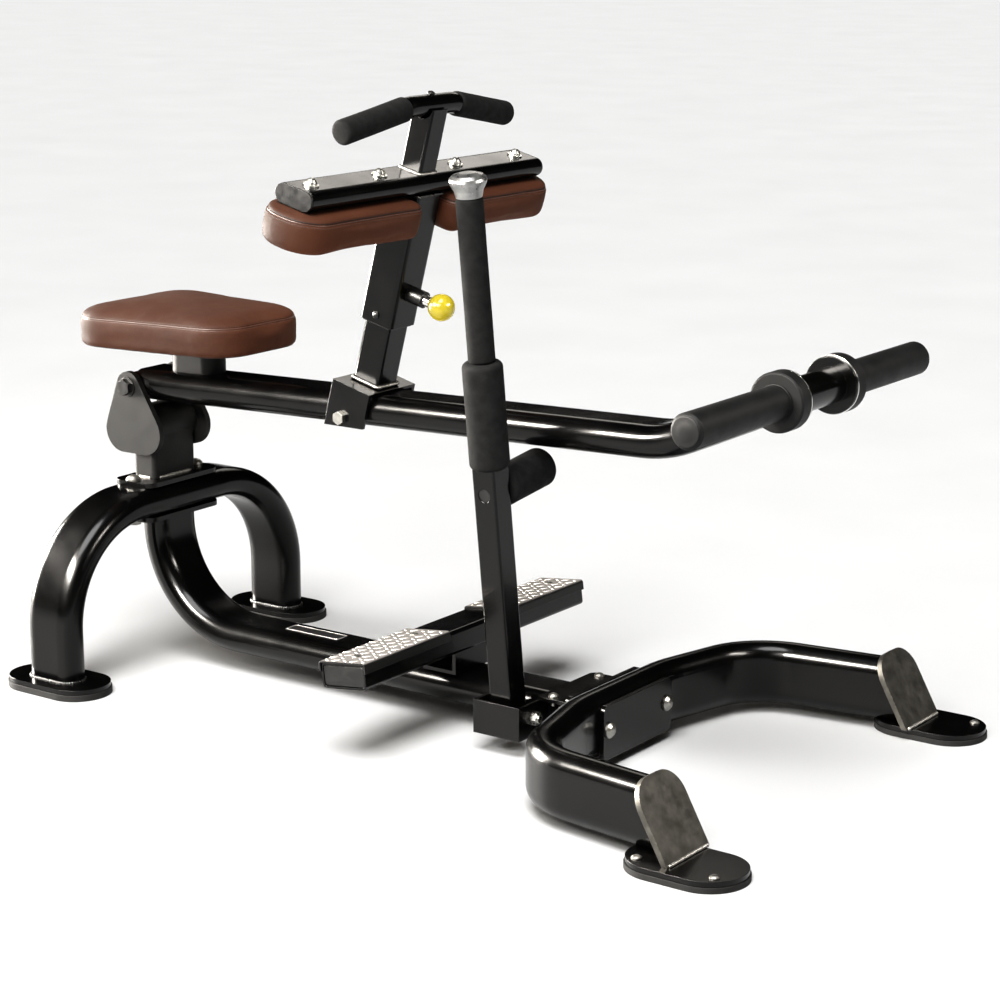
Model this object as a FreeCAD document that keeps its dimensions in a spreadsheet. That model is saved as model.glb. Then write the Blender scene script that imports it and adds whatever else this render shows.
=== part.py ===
import FreeCAD, Part
import Sketcher
import math
import os

# Plate-loaded seated calf raise machine.
# Row frame, millimetres: +X forward (towards the weight horns), +Y the sitter's left, +Z up, floor at Z = 0.
os.makedirs("parts", exist_ok=True)
doc = FreeCAD.newDocument("seated_calf_raise")
V = FreeCAD.Vector
ROT = FreeCAD.Rotation
PL = FreeCAD.Placement

# ---------------------------------------------------------------- driving dimensions
cells = [
    ("tube_wide", 100, "flat-oval frame tube, wide side"),
    ("tube_thick", 50, "flat-oval frame tube, narrow side"),
    ("tube_wall", 3, "wall of every frame tube"),
    ("plate_thick", 8, "welded plates"),
    ("arch_half_span", 271, "rear legs either side of the middle"),
    ("arch_top", 274, "centreline height of the rear arch"),
    ("arch_bend", 177.4, "bend radius of the rear arch"),
    ("rear_foot_length", 187, "rear foot plate"),
    ("rear_foot_width", 104, "rear foot plate"),
    ("rear_rubber", 10, "rubber under the rear feet"),
    ("front_foot_length", 175, "front foot plate"),
    ("front_foot_width", 111, "front foot plate"),
    ("front_rubber", 8, "rubber under the front feet"),
    ("spine_height", 55, "centreline height of the spine"),
    ("spine_bend", 172, "bend radius of the spine"),
    ("flange_length", 176, "column flange along Y"),
    ("flange_width", 84, "column flange along X"),
    ("column_x", 48, "column section along X"),
    ("column_y", 100, "column section along Y"),
    ("column_corner", 8, "column corner radius"),
    ("housing_dia", 70, "cross tube at the head of the column"),
    ("housing_length", 104, "cross tube at the head of the column"),
    ("cheek_thick", 10, "pivot cheek plate"),
    ("cheek_big", 37, "lower corner radius of the cheek"),
    ("cheek_small", 25, "upper lobe radius of the cheek"),
    ("cheek_rise", 68, "pivot above the housing"),
    ("pivot_bolt_dia", 16, "main pivot bolt"),
    ("bush_bore", 16.12, "bush bore, running fit on the bolt"),
    ("bush_outer", 30, "bush outside diameter"),
    ("pivot_tube_dia", 44, "lever pivot tube"),
    ("pivot_tube_length", 96, "lever pivot tube"),
    ("lever_rise", 1.55, "lever slope in degrees"),
    ("lever_bend", 200, "bend radius near the weight horns"),
    ("hub_dia", 52, "horn bar between the flanges"),
    ("horn_core", 38, "horn bar inside the sleeves"),
    ("horn_reach", 325, "end of a weight sleeve from the middle"),
    ("sleeve_dia", 50, "weight sleeve outside diameter"),
    ("collar_dia", 85, "rubber stop collar"),
    ("collar_thick", 24, "rubber stop collar"),
    ("seat_front", 212, "seat width at the front"),
    ("seat_rear", 296, "seat width at the rear"),
    ("seat_length", 325, "seat length"),
    ("seat_thick", 57, "seat cushion thickness"),
    ("post_lean", 14.7, "lean of the knee-pad post in degrees"),
    ("inner_tube", 50, "square inner post"),
    ("outer_tube", 65, "square outer sleeve"),
    ("outer_wall", 4, "wall of the outer sleeve"),
    ("hole_pitch", 20, "height holes of the inner post"),
    ("pin_hole", 10.6, "height hole diameter"),
    ("pin_dia", 10, "plunger nose"),
    ("ball_dia", 42, "plunger ball"),
    ("barrel_dia", 26, "plunger barrel"),
    ("cross_wide", 70, "cross tube of the knee pads"),
    ("cross_thick", 30, "cross tube of the knee pads"),
    ("cross_length", 566, "cross tube of the knee pads"),
    ("knee_pad_depth", 108, "knee pad along X"),
    ("knee_pad_thick", 50, "knee pad thickness"),
    ("knee_pad_length", 272, "knee pad along Y"),
    ("grip_dia", 38, "handle grip"),
    ("handle_dia", 32, "handle tube"),
    ("safety_square", 40, "safety post section"),
    ("safety_lean", 7.1, "outward lean of the safety post in degrees"),
    ("peg_dia", 60, "foam on the safety peg"),
    ("bumper_dia", 60, "foam on the safety post"),
    ("tread_length", 209, "tread plate along Y"),
    ("tread_depth", 88, "tread plate along X"),
    ("tread_thick", 3, "tread plate sheet"),
    ("tread_skirt", 16, "tread plate skirt"),
    ("footrest_tilt", 7, "tilt of the footrest in degrees"),
    ("beam_depth", 82, "footrest beam along X"),
    ("beam_height", 38, "footrest beam height"),
    ("beam_length", 568, "footrest beam length"),
    ("cap_width", 107, "slanted cap plate of a front arm"),
    ("cap_corner", 40, "top corner radius of the cap plate"),
]
sheet = doc.addObject("Spreadsheet::Sheet", "Dimensions")
D = {}
for i, (alias, value, note) in enumerate(cells):
    sheet.set("A%d" % (i + 1), note)
    sheet.set("B%d" % (i + 1), str(value))
    sheet.setAlias("B%d" % (i + 1), alias)
    D[alias] = value
doc.recompute()
C = "Dimensions."
OUT = []


def bind(obj, prop, expr):
    obj.setExpression(prop, expr)


def origin_plane(body, role):
    for f in body.Origin.OriginFeatures:
        if getattr(f, "Role", "") == role:
            return f
    raise RuntimeError(role)


def new_body(label):
    b = doc.addObject("PartDesign::Body", label)
    b.Label = label
    return b


def new_sketch(body, name, plane="XY_Plane", offset=None):
    s = body.newObject("Sketcher::SketchObject", body.Label + "_" + name)
    s.AttachmentSupport = [(origin_plane(body, plane), "")]
    s.MapMode = "FlatFace"
    if offset is not None:
        s.AttachmentOffset = offset
    return s


def place(obj, pos=(0, 0, 0), rot=None):
    obj.Placement = PL(V(*pos), rot if rot is not None else ROT())


def out(obj, label=None):
    if label:
        obj.Label = label
    OUT.append(obj)
    return obj


def con(s, *a):
    return s.addConstraint(Sketcher.Constraint(*a))


def bound(s, idx, expr):
    s.setExpression("Constraints[%d]" % idx, expr)


def xy(s, geo, pt, x, y, ex=None, ey=None):
    """Fix a point of a sketch at x, y; a distance can be bound to a cell."""
    if abs(x) < 1e-9:
        con(s, "PointOnObject", geo, pt, -2)
    elif x > 0:
        i = con(s, "DistanceX", -1, 1, geo, pt, x)
        if ex:
            bound(s, i, ex)
    else:
        i = con(s, "DistanceX", geo, pt, -1, 1, -x)
        if ex:
            bound(s, i, ex)
    if abs(y) < 1e-9:
        con(s, "PointOnObject", geo, pt, -1)
    elif y > 0:
        i = con(s, "DistanceY", -1, 1, geo, pt, y)
        if ey:
            bound(s, i, ey)
    else:
        i = con(s, "DistanceY", geo, pt, -1, 1, -y)
        if ey:
            bound(s, i, ey)


def circle(s, dia, expr=None, x=0.0, y=0.0, ex=None, ey=None):
    g = s.addGeometry(Part.Circle(V(x, y, 0), V(0, 0, 1), dia / 2.0), False)
    if abs(x) < 1e-9 and abs(y) < 1e-9:
        con(s, "Coincident", g, 3, -1, 1)
    else:
        xy(s, g, 3, x, y, ex, ey)
    i = con(s, "Diameter", g, dia)
    if expr:
        bound(s, i, expr)
    return g


def arc(s, cx, cy, r, a0, a1):
    return s.addGeometry(Part.ArcOfCircle(Part.Circle(V(cx, cy, 0), V(0, 0, 1), r), math.radians(a0), math.radians(a1)), False)


def line(s, a, b):
    return s.addGeometry(Part.LineSegment(V(a[0], a[1], 0), V(b[0], b[1], 0)), False)


def stadium(s, length, thick, elen, ethick, along="y"):
    """Closed flat-oval outline centred on the sketch origin."""
    r = thick / 2.0
    k = length / 2.0 - r
    if along == "y":
        a0 = arc(s, 0, k, r, 0, 180)
        a1 = arc(s, 0, -k, r, 180, 360)
        l0 = line(s, (-r, k), (-r, -k))
        l1 = line(s, (r, -k), (r, k))
        con(s, "PointOnObject", a0, 3, -2)
        con(s, "PointOnObject", a1, 3, -2)
        i = con(s, "DistanceY", -1, 1, a0, 3, k)
        j = con(s, "DistanceY", a1, 3, -1, 1, k)
    else:
        a0 = arc(s, k, 0, r, -90, 90)
        a1 = arc(s, -k, 0, r, 90, 270)
        l0 = line(s, (k, r), (-k, r))
        l1 = line(s, (-k, -r), (k, -r))
        con(s, "PointOnObject", a0, 3, -1)
        con(s, "PointOnObject", a1, 3, -1)
        i = con(s, "DistanceX", -1, 1, a0, 3, k)
        j = con(s, "DistanceX", a1, 3, -1, 1, k)
    con(s, "Tangent", a0, 2, l0, 1)
    con(s, "Tangent", l0, 2, a1, 1)
    con(s, "Tangent", a1, 2, l1, 1)
    con(s, "Tangent", l1, 2, a0, 1)
    q = con(s, "Radius", a0, r)
    bound(s, i, "(%s - (%s)) / 2" % (elen, ethick))
    bound(s, j, "(%s - (%s)) / 2" % (elen, ethick))
    bound(s, q, "(%s) / 2" % ethick)


def rounded(s, w, h, r, ew=None, eh=None, er=None, x0=0.0, y0=0.0):
    """Closed rectangle with round corners; x0, y0 is its centre."""
    a, b = w / 2.0, h / 2.0
    t = line(s, (x0 + a - r, y0 + b), (x0 - a + r, y0 + b))
    l = line(s, (x0 - a, y0 + b - r), (x0 - a, y0 - b + r))
    d = line(s, (x0 - a + r, y0 - b), (x0 + a - r, y0 - b))
    e = line(s, (x0 + a, y0 - b + r), (x0 + a, y0 + b - r))
    c1 = arc(s, x0 - a + r, y0 + b - r, r, 90, 180)
    c2 = arc(s, x0 - a + r, y0 - b + r, r, 180, 270)
    c3 = arc(s, x0 + a - r, y0 - b + r, r, 270, 360)
    c4 = arc(s, x0 + a - r, y0 + b - r, r, 0, 90)
    con(s, "Tangent", t, 2, c1, 1)
    con(s, "Tangent", c1, 2, l, 1)
    con(s, "Tangent", l, 2, c2, 1)
    con(s, "Tangent", c2, 2, d, 1)
    con(s, "Tangent", d, 2, c3, 1)
    con(s, "Tangent", c3, 2, e, 1)
    con(s, "Tangent", e, 2, c4, 1)
    con(s, "Tangent", c4, 2, t, 1)
    con(s, "Horizontal", t)
    con(s, "Vertical", l)
    con(s, "Equal", c1, c2)
    con(s, "Equal", c2, c3)
    con(s, "Equal", c3, c4)
    q = con(s, "Radius", c1, r)
    if er:
        bound(s, q, er)
    if abs(x0) < 1e-9 and abs(y0) < 1e-9:
        i = con(s, "DistanceX", l, 1, e, 2, w)
        j = con(s, "DistanceY", d, 1, t, 1, h)
        con(s, "Symmetric", c1, 3, c3, 3, -1, 1)
        if ew:
            bound(s, i, ew)
        if eh:
            bound(s, j, eh)
    else:
        xy(s, c1, 3, x0 - a + r, y0 + b - r)
        xy(s, c3, 3, x0 + a - r, y0 - b + r)


def polygon(s, pts):
    n = len(pts)
    ids = [line(s, pts[i], pts[(i + 1) % n]) for i in range(n)]
    for i in range(n):
        con(s, "Coincident", ids[i], 2, ids[(i + 1) % n], 1)
    for i in range(n):
        xy(s, ids[i], 1, pts[i][0], pts[i][1])
    return ids


def pad(body, s, length, expr=None, mid=False, rev=False, name="Pad"):
    p = body.newObject("PartDesign::Pad", body.Label + "_" + name)
    p.Profile = s
    p.Length = length
    if expr:
        bind(p, "Length", expr)
    if mid:
        p.SideType = "Symmetric"
    p.Reversed = rev
    return p


def pocket_all(body, s, name="Pocket"):
    p = body.newObject("PartDesign::Pocket", body.Label + "_" + name)
    p.Profile = s
    p.Type = "ThroughAll"
    p.SideType = "Symmetric"
    return p


def pocket(body, s, length, expr=None, rev=False, name="Pocket"):
    p = body.newObject("PartDesign::Pocket", body.Label + "_" + name)
    p.Profile = s
    p.Length = length
    if expr:
        bind(p, "Length", expr)
    p.Reversed = rev
    return p


def revolve(body, s, axis="H_Axis", name="Revolution"):
    p = body.newObject("PartDesign::Revolution", body.Label + "_" + name)
    p.Profile = s
    p.ReferenceAxis = (s, [axis])
    p.Angle = 360.0
    return p


def turned(label, pts, pos, rot):
    """Turned piece: a closed half profile (along, radius) spun about the local X axis."""
    b = new_body(label)
    s = new_sketch(b, "Profile")
    polygon(s, pts)
    revolve(b, s)
    place(b, pos, rot)
    return b


def path_points(pts, radii):
    """Split a cornered line into straight runs and arcs: returns a list of ('L', a, b) and ('A', centre, r, a, mid, b)."""
    res = []
    cur = V(pts[0][0], pts[0][1], 0)
    for i in range(1, len(pts) - 1):
        p = V(pts[i][0], pts[i][1], 0)
        a = V(pts[i - 1][0], pts[i - 1][1], 0)
        b = V(pts[i + 1][0], pts[i + 1][1], 0)
        u = a.sub(p)
        u.normalize()
        w = b.sub(p)
        w.normalize()
        half = u.getAngle(w) / 2.0
        r = radii[i - 1]
        t = r / math.tan(half)
        t0 = p + u * t
        t1 = p + w * t
        bis = u + w
        bis.normalize()
        c = p + bis * (r / math.sin(half))
        m = c - bis * r
        res.append(("L", cur, t0))
        res.append(("A", c, r, t0, m, t1))
        cur = t1
    res.append(("L", cur, V(pts[-1][0], pts[-1][1], 0)))
    return res


def spine_sketch(body, pts, radii, rexpr=None):
    s = new_sketch(body, "Path")
    segs = path_points(pts, radii)
    prev = None
    k = 0
    for q in segs:
        if q[0] == "L":
            g = line(s, (q[1].x, q[1].y), (q[2].x, q[2].y))
            ends = (1, 2)
        else:
            a0 = math.degrees(math.atan2(q[3].y - q[1].y, q[3].x - q[1].x))
            a1 = math.degrees(math.atan2(q[5].y - q[1].y, q[5].x - q[1].x))
            u, w = q[3].sub(q[1]), q[5].sub(q[1])
            left = u.x * w.y - u.y * w.x > 0
            if not left:
                a0, a1 = a1, a0
            if a1 < a0:
                a1 += 360.0
            g = arc(s, q[1].x, q[1].y, q[2], a0, a1)
            ends = (1, 2) if left else (2, 1)
        if prev is not None:
            con(s, "Coincident", prev[0], prev[1], g, ends[0])
        if q[0] == "A":
            i = con(s, "Radius", g, q[2])
            if rexpr:
                bound(s, i, rexpr if isinstance(rexpr, str) else rexpr[k])
            k += 1
        prev = (g, ends[1])
    for n, q in enumerate(segs):
        if q[0] == "L":
            xy(s, n, 1, q[1].x, q[1].y)
            xy(s, n, 2, q[2].x, q[2].y)
    return s, len(segs)


def local_path(pts):
    """Carry plane points so that the first one is the origin and the first run goes along +X."""
    ang = math.atan2(pts[1][1] - pts[0][1], pts[1][0] - pts[0][0])
    c, sn = math.cos(-ang), math.sin(-ang)
    res = []
    for p in pts:
        dx, dy = p[0] - pts[0][0], p[1] - pts[0][1]
        res.append((dx * c - dy * sn, dx * sn + dy * c))
    return res, ang


def swept(label, pts, radii, kind, plane, level, wide="tube_wide", thick="tube_thick", wall="tube_wall", rexpr=None):
    """Bent tube: flat-oval with its wide side across the plane of the bends, or round."""
    loc, ang = local_path(pts)
    b = new_body(label)
    sp, n = spine_sketch(b, loc, radii, rexpr)
    pr = new_sketch(b, "Section", "YZ_Plane")
    if kind == "oval":
        stadium(pr, D[wide], D[thick], C + wide, C + thick, "y")
        stadium(pr, D[wide] - 2 * D[wall], D[thick] - 2 * D[wall], "%s%s - 2 * %s%s" % (C, wide, C, wall), "%s%s - 2 * %s%s" % (C, thick, C, wall), "y")
    else:
        circle(pr, D[wide], C + wide)
        circle(pr, D[wide] - 2 * D[wall], "%s%s - 2 * %s%s" % (C, wide, C, wall))
    doc.recompute()
    p = b.newObject("PartDesign::AdditivePipe", label + "_Pipe")
    p.Profile = pr
    p.Spine = (sp, ["Edge%d" % (i + 1) for i in range(n)])
    p.Mode = "Fixed" if False else "Standard"
    p.Transition = "Transformed"
    # local X, Y of the path go to the axes of the plane that holds the bends
    if plane == "XZ":
        base = ROT(V(1, 0, 0), 90)      # local y -> world z, local z -> world -y
        pos = (pts[0][0], level, pts[0][1])
    elif plane == "YZ":
        base = ROT(V(0, 1, 0), V(0, 0, 1), V(1, 0, 0), "ZXY")
        pos = (level, pts[0][0], pts[0][1])
    else:
        base = ROT()
        pos = (pts[0][0], pts[0][1], level)
    place(b, pos, base.multiply(ROT(V(0, 0, 1), math.degrees(ang))))
    return b


def box(name, size, pos, rot=None, exprs=None):
    o = doc.addObject("Part::Box", name)
    o.Length, o.Width, o.Height = size
    if exprs:
        for prop, e in zip(("Length", "Width", "Height"), exprs):
            if e:
                bind(o, prop, e)
    place(o, pos, rot)
    return o


def cyl(name, dia, h, pos, rot=None, edia=None, eh=None):
    o = doc.addObject("Part::Cylinder", name)
    o.Radius = dia / 2.0
    o.Height = h
    if edia:
        bind(o, "Radius", "(%s) / 2" % edia)
    if eh:
        bind(o, "Height", eh)
    place(o, pos, rot)
    return o


def cut(label, base, tools):
    tool = tools[0]
    if len(tools) > 1:
        tool = doc.addObject("Part::MultiFuse", label + "_tools")
        tool.Shapes = tools
    o = doc.addObject("Part::Cut", label)
    o.Base = base
    o.Tool = tool
    o.Label = label
    return o


def fuse(label, parts, refine=True):
    o = doc.addObject("Part::MultiFuse", label)
    o.Shapes = parts
    o.Refine = refine
    o.Label = label
    return o


def group(label, parts):
    """Identical fasteners share a node as separate solids."""
    o = doc.addObject("Part::Compound", label)
    o.Links = parts
    o.Label = label
    return o


RX90 = ROT(V(1, 0, 0), 90)
RXM90 = ROT(V(1, 0, 0), -90)
TO_Y = RXM90                                   # local z -> +Y
TO_NEG_Y = RX90                                # local z -> -Y
X_TO_Y = ROT(V(0, 0, 1), 90)                   # local x -> +Y
X_TO_NEG_Y = ROT(V(0, 0, 1), -90)
X_TO_Z = ROT(V(0, 1, 0), -90)                  # local x -> +Z
Z_TO_X = ROT(V(0, 1, 0), 90)                   # local z -> +X
X_TO_NEG_X = ROT(V(0, 0, 1), 180)
SIDES = (("right", -1), ("left", 1))


def hexagon(s, flats):
    r = flats / math.sqrt(3.0)
    polygon(s, [(r * math.cos(math.radians(60 * i + 30)), r * math.sin(math.radians(60 * i + 30))) for i in range(6)])


def hex_piece(name, flats, h, pos, rot, bore=None):
    b = new_body(name)
    s = new_sketch(b, "Hex")
    hexagon(s, flats)
    if bore:
        circle(s, bore)
    pad(b, s, h)
    place(b, pos, rot)
    return b


def dome_bolt(name, shank, length, head, head_h, pos, rot):
    """Dome-head bolt: head above local z = 0, shank below."""
    pts = [(0, 0)]
    r = head / 2.0
    prof = [(-length, 0), (-length, shank / 2.0), (0, shank / 2.0), (0, r), (head_h * 0.35, r), (head_h * 0.8, r * 0.62), (head_h, r * 0.25), (head_h, 0)]
    return turned(name, prof, pos, rot.multiply(X_TO_Z))


# ================================================================= base frame
ARCH_X = -614.5
REAR_Z = D["rear_rubber"] + D["plate_thick"]

# rear arch: one flat-oval tube bent the easy way into a wide inverted U
arch = swept("rear_arch", [(-D["arch_half_span"], REAR_Z), (-D["arch_half_span"], D["arch_top"]), (D["arch_half_span"], D["arch_top"]), (D["arch_half_span"], REAR_Z)], [D["arch_bend"]] * 2, "oval", "YZ", ARCH_X, rexpr=C + "arch_bend")
arch.Label = "rear_arch_tube"
holes = [cyl("arch_hole_%s" % n, 12.5, 70, (-621, 76 * k, 238)) for n, k in SIDES]
out(cut("rear_arch", arch, holes))


def obround_plate(label, length, width, thick, exprs, pos, holes_at=(), grow=0.0):
    b = new_body(label)
    s = new_sketch(b, "Outline")
    r = width / 2.0
    stadium(s, length, width, exprs[0], exprs[1], "x")
    for hx, hy, hd in holes_at:
        circle(s, hd, None, hx, hy)
    pad(b, s, thick, exprs[2])
    place(b, pos)
    return b


rp, rr = [], []
for n, k in SIDES:
    rp.append(obround_plate("rear_foot_plate_" + n, D["rear_foot_length"], D["rear_foot_width"], D["plate_thick"], (C + "rear_foot_length", C + "rear_foot_width", C + "plate_thick"), (-611, k * 271, D["rear_rubber"])))
    b = obround_plate("rear_foot_rubber_" + n, D["rear_foot_length"] + 4, D["rear_foot_width"] + 4, D["rear_rubber"], (C + "rear_foot_length + 4", C + "rear_foot_width + 4", C + "rear_rubber"), (-611, k * 271, 0))
    rr.append(b)
out(group("rear_foot_plates", rp))
out(group("rear_foot_rubbers", rr))

# spine: drops from under the arch and sweeps forward along the floor
SPINE_X0 = -614.0
SPINE_X1 = 261.0
SZ = D["spine_height"]
spine = (swept("spine_run", [(SPINE_X0, 241), (SPINE_X0, SZ), (SPINE_X1, SZ)], [D["spine_bend"]], "oval", "XZ", 0, rexpr=C + "spine_bend"))

# flange pair that clamps the arch between the column and the spine
def flange(label, z):
    b = new_body(label)
    s = new_sketch(b, "Outline")
    rounded(s, D["flange_width"], D["flange_length"], 20, C + "flange_width", C + "flange_length")
    circle(s, 13, None, -5, 76)
    circle(s, 13, None, -5, -76)
    pad(b, s, D["plate_thick"], C + "plate_thick")
    place(b, (-616, 0, z))
    return b




def bar_plate(label, x, w, h, z):
    """Upright plate on the front bar, with the two bolt holes."""
    b = new_body(label)
    s = new_sketch(b, "Outline", "YZ_Plane")
    rounded(s, w, h, 10)
    circle(s, 13, None, 79, 60 - z)
    circle(s, 13, None, -79, 60 - z)
    pad(b, s, D["plate_thick"], C + "plate_thick")
    place(b, (x, 0, z))
    return b


out(group("clamp_plates", [flange("column_flange", 299), flange("spine_top_flange", 241), bar_plate("front_clamp_plate", 319, 186, 84, 56)]))
bolts = []
for n, k in SIDES:
    bolts.append(dome_bolt("flange_bolt_" + n, 12, 75, 24, 9, (-621, 76 * k, 307), ROT()))
nuts = [hex_piece("flange_nut_" + n, 19, 9, (-621, 76 * k, 232), ROT(), 12) for n, k in SIDES]

# column with the cross tube and the two cheeks at its head
HX, HZ = -628.0, 392.0
PX, PZ = -640.0, HZ + D["cheek_rise"]
b = new_body("column_body")
s = new_sketch(b, "Section")
rounded(s, D["column_x"], D["column_y"], D["column_corner"], C + "column_x", C + "column_y", C + "column_corner")
rounded(s, D["column_x"] - 8, D["column_y"] - 8, D["column_corner"] - 4, C + "column_x - 8", C + "column_y - 8", C + "column_corner - 4")
pad(b, s, HZ - 307)
place(b, (-620, 0, 307))
column_cut = (cut("column_section", b, [cyl("column_cope", D["housing_dia"], 160, (HX, -80, HZ), TO_Y, C + "housing_dia")]))
b = new_body("pivot_housing")
s = new_sketch(b, "Ring")
circle(s, D["housing_dia"], C + "housing_dia")
circle(s, D["housing_dia"] - 12, C + "housing_dia - 12")
pad(b, s, D["housing_length"], C + "housing_length", mid=True)
place(b, (HX, 0, HZ), TO_Y)
out(fuse("column", [column_cut, b]))
def cheek(label, k):
    """Bell-shaped side plate: a small lobe round the pivot, straight flanks, two round lower corners, flat foot."""
    b = new_body(label)
    s = new_sketch(b, "Outline")
    R, r = D["cheek_big"], D["cheek_small"]
    dx, dz = PX - HX, PZ - HZ
    low = [(-27.0, -7.0), (20.0, -7.0)]
    tang = []
    for (cx, cz), sg in zip(low, (1, -1)):
        ex, ez = dx - cx, dz - cz
        d = math.hypot(ex, ez)
        a = math.atan2(ez, ex) + sg * math.acos((R - r) / d)
        tang.append(a)
    al, ar = tang
    P = lambda c, q, a: (c[0] + q * math.cos(a), c[1] + q * math.sin(a))
    top = (dx, dz)
    l0 = line(s, P(low[1], R, ar), P(top, r, ar))
    c0 = arc(s, dx, dz, r, math.degrees(ar), math.degrees(al))
    l1 = line(s, P(top, r, al), P(low[0], R, al))
    c1 = arc(s, low[0][0], low[0][1], R, math.degrees(al), 270)
    l2 = line(s, (low[0][0], low[0][1] - R), (low[1][0], low[1][1] - R))
    c2 = arc(s, low[1][0], low[1][1], R, -90, math.degrees(ar))
    con(s, "Tangent", l0, 2, c0, 1)
    con(s, "Tangent", c0, 2, l1, 1)
    con(s, "Tangent", l1, 2, c1, 1)
    con(s, "Tangent", c1, 2, l2, 1)
    con(s, "Tangent", l2, 2, c2, 1)
    con(s, "Tangent", c2, 2, l0, 1)
    bound(s, con(s, "Radius", c1, R), C + "cheek_big")
    bound(s, con(s, "Radius", c2, R), C + "cheek_big")
    bound(s, con(s, "Radius", c0, r), C + "cheek_small")
    xy(s, c0, 3, dx, dz, None, C + "cheek_rise")
    xy(s, c1, 3, low[0][0], low[0][1])
    con(s, "DistanceX", -1, 1, c2, 3, low[1][0])
    circle(s, D["pivot_bolt_dia"] + 0.4, C + "pivot_bolt_dia + 0.4", dx, dz, None, C + "cheek_rise")
    pad(b, s, D["cheek_thick"], C + "cheek_thick", mid=True)
    # sketch x -> +X, sketch y -> +Z
    place(b, (HX, k * 57, HZ), RX90)
    return b


for n, k in SIDES:
    out(cheek("cheek_" + n, k))

# main pivot bolt: head on the right, nut on the left
b1 = hex_piece("pivot_bolt_head", 24, 10, (PX, -64.5, PZ), TO_NEG_Y)
b2 = cyl("pivot_bolt_shank", D["pivot_bolt_dia"], 142, (PX, -64.5, PZ), TO_Y, C + "pivot_bolt_dia")
pv = [fuse("pivot_bolt", [b1, b2])] + ([cut("pivot_washer_" + n, cyl("pivot_washer_disc_" + n, 32, 2.5, (PX, k * 62 if k > 0 else -64.5, PZ), TO_Y), [cyl("pivot_washer_hole_" + n, 16.3, 10, (PX, k * 62 - 4, PZ), TO_Y)]) for n, k in SIDES])
pv.append(hex_piece("pivot_nut", 24, 12, (PX, 64.5, PZ), TO_Y, 16))
out(group("pivot_fasteners", pv))

# front frame: one flat-oval tube on edge, a shallow V at the back and two splayed arms
FZ = 62.0
CAP_A = 29.0
pts = [(650, -345.6), (341.5, -305.6), (294, -116), (294, 116), (341.5, 305.6), (650, 345.6)]
ff = swept("front_tube", pts, [115, 190, 190, 115], "oval", "XY", FZ)


def cap_plane_x(z, back=0.0):
    """X of the front face of the slanted arm caps at height z, or of a plane behind it."""
    return 628.6 - (z - 12.0) * math.tan(math.radians(CAP_A)) - back / math.cos(math.radians(CAP_A))


TILT = ROT(V(0, 1, 0), -CAP_A)
trims = []
for n, k in SIDES:
    bx = box("arm_trim_" + n, (200, 200, 400), (cap_plane_x(-100, 8), k * 350 - 100, -100), TILT)
    trims.append(bx)
trims += [box("arm_level_" + n, (160, 150, 40), (545, k * 350 - 75, 16 - 40)) for n, k in SIDES]
trims += [cyl("front_bar_hole_" + n, 12.5, 80, (260, 79 * k, 60), Z_TO_X) for n, k in SIDES]
out(cut("front_frame", ff, trims))

ac = []
for n, k in SIDES:
    b = new_body("arm_cap_plate_" + n)
    s = new_sketch(b, "Outline", "YZ_Plane")
    w = D["cap_width"] / 2.0
    hgt = (120.8 - 16) / math.cos(math.radians(CAP_A))
    R = D["cap_corner"]
    l0 = line(s, (-w, 0), (w, 0))
    l1 = line(s, (w, 0), (w, hgt - R))
    c1 = arc(s, w - R, hgt - R, R, 0, 90)
    l2 = line(s, (w - R, hgt), (-w + R, hgt))
    c2 = arc(s, -w + R, hgt - R, R, 90, 180)
    l3 = line(s, (-w, hgt - R), (-w, 0))
    con(s, "Coincident", l0, 2, l1, 1)
    con(s, "Tangent", l1, 2, c1, 1)
    con(s, "Tangent", c1, 2, l2, 1)
    con(s, "Tangent", l2, 2, c2, 1)
    con(s, "Tangent", c2, 2, l3, 1)
    con(s, "Coincident", l3, 2, l0, 1)
    con(s, "Horizontal", l0)
    con(s, "Vertical", l1)
    con(s, "Vertical", l3)
    con(s, "Horizontal", l2)
    con(s, "Equal", c1, c2)
    bound(s, con(s, "Radius", c1, R), C + "cap_corner")
    i = con(s, "DistanceX", l0, 1, l0, 2, 2 * w)
    bound(s, i, C + "cap_width")
    con(s, "Symmetric", l0, 1, l0, 2, -1, 1)
    con(s, "DistanceY", -1, 1, l2, 1, hgt)
    pad(b, s, D["plate_thick"], C + "plate_thick", rev=True)
    place(b, (cap_plane_x(16), k * 342.2, 16), TILT)
    # the foot of the cap is levelled where it meets the foot plate
    lvl = box("cap_level_" + n, (80, 160, 30), (cap_plane_x(16) - 40, k * 342.2 - 80, 16 - 30))
    ac.append(cut("arm_cap_" + n, b, [lvl]))
out(group("arm_caps", ac))

fp, fru = [], []
for n, k in SIDES:
    fp.append(obround_plate("front_foot_plate_" + n, D["front_foot_length"], D["front_foot_width"], D["plate_thick"], (C + "front_foot_length", C + "front_foot_width", C + "plate_thick"), (632.5, k * 356, D["front_rubber"]), holes_at=((-60, 30 * k, 8.6), (60, 30 * k, 8.6))))
    fru.append(obround_plate("front_foot_rubber_" + n, D["front_foot_length"] + 4, D["front_foot_width"] + 4, D["front_rubber"], (C + "front_foot_length + 4", C + "front_foot_width + 4", C + "front_rubber"), (632.5, k * 356, 0), holes_at=((-60, 30 * k, 8.6), (60, 30 * k, 8.6))))
out(group("front_foot_plates", fp))
out(group("front_foot_rubbers", fru))
screws = []
for n, k in SIDES:
    for m in (-1, 1):
        screws.append(dome_bolt("foot_screw_%s_%d" % (n, m + 1), 8, 12, 15, 4.5, (632.5 + 60 * m, k * 386, 16), ROT()))

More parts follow.
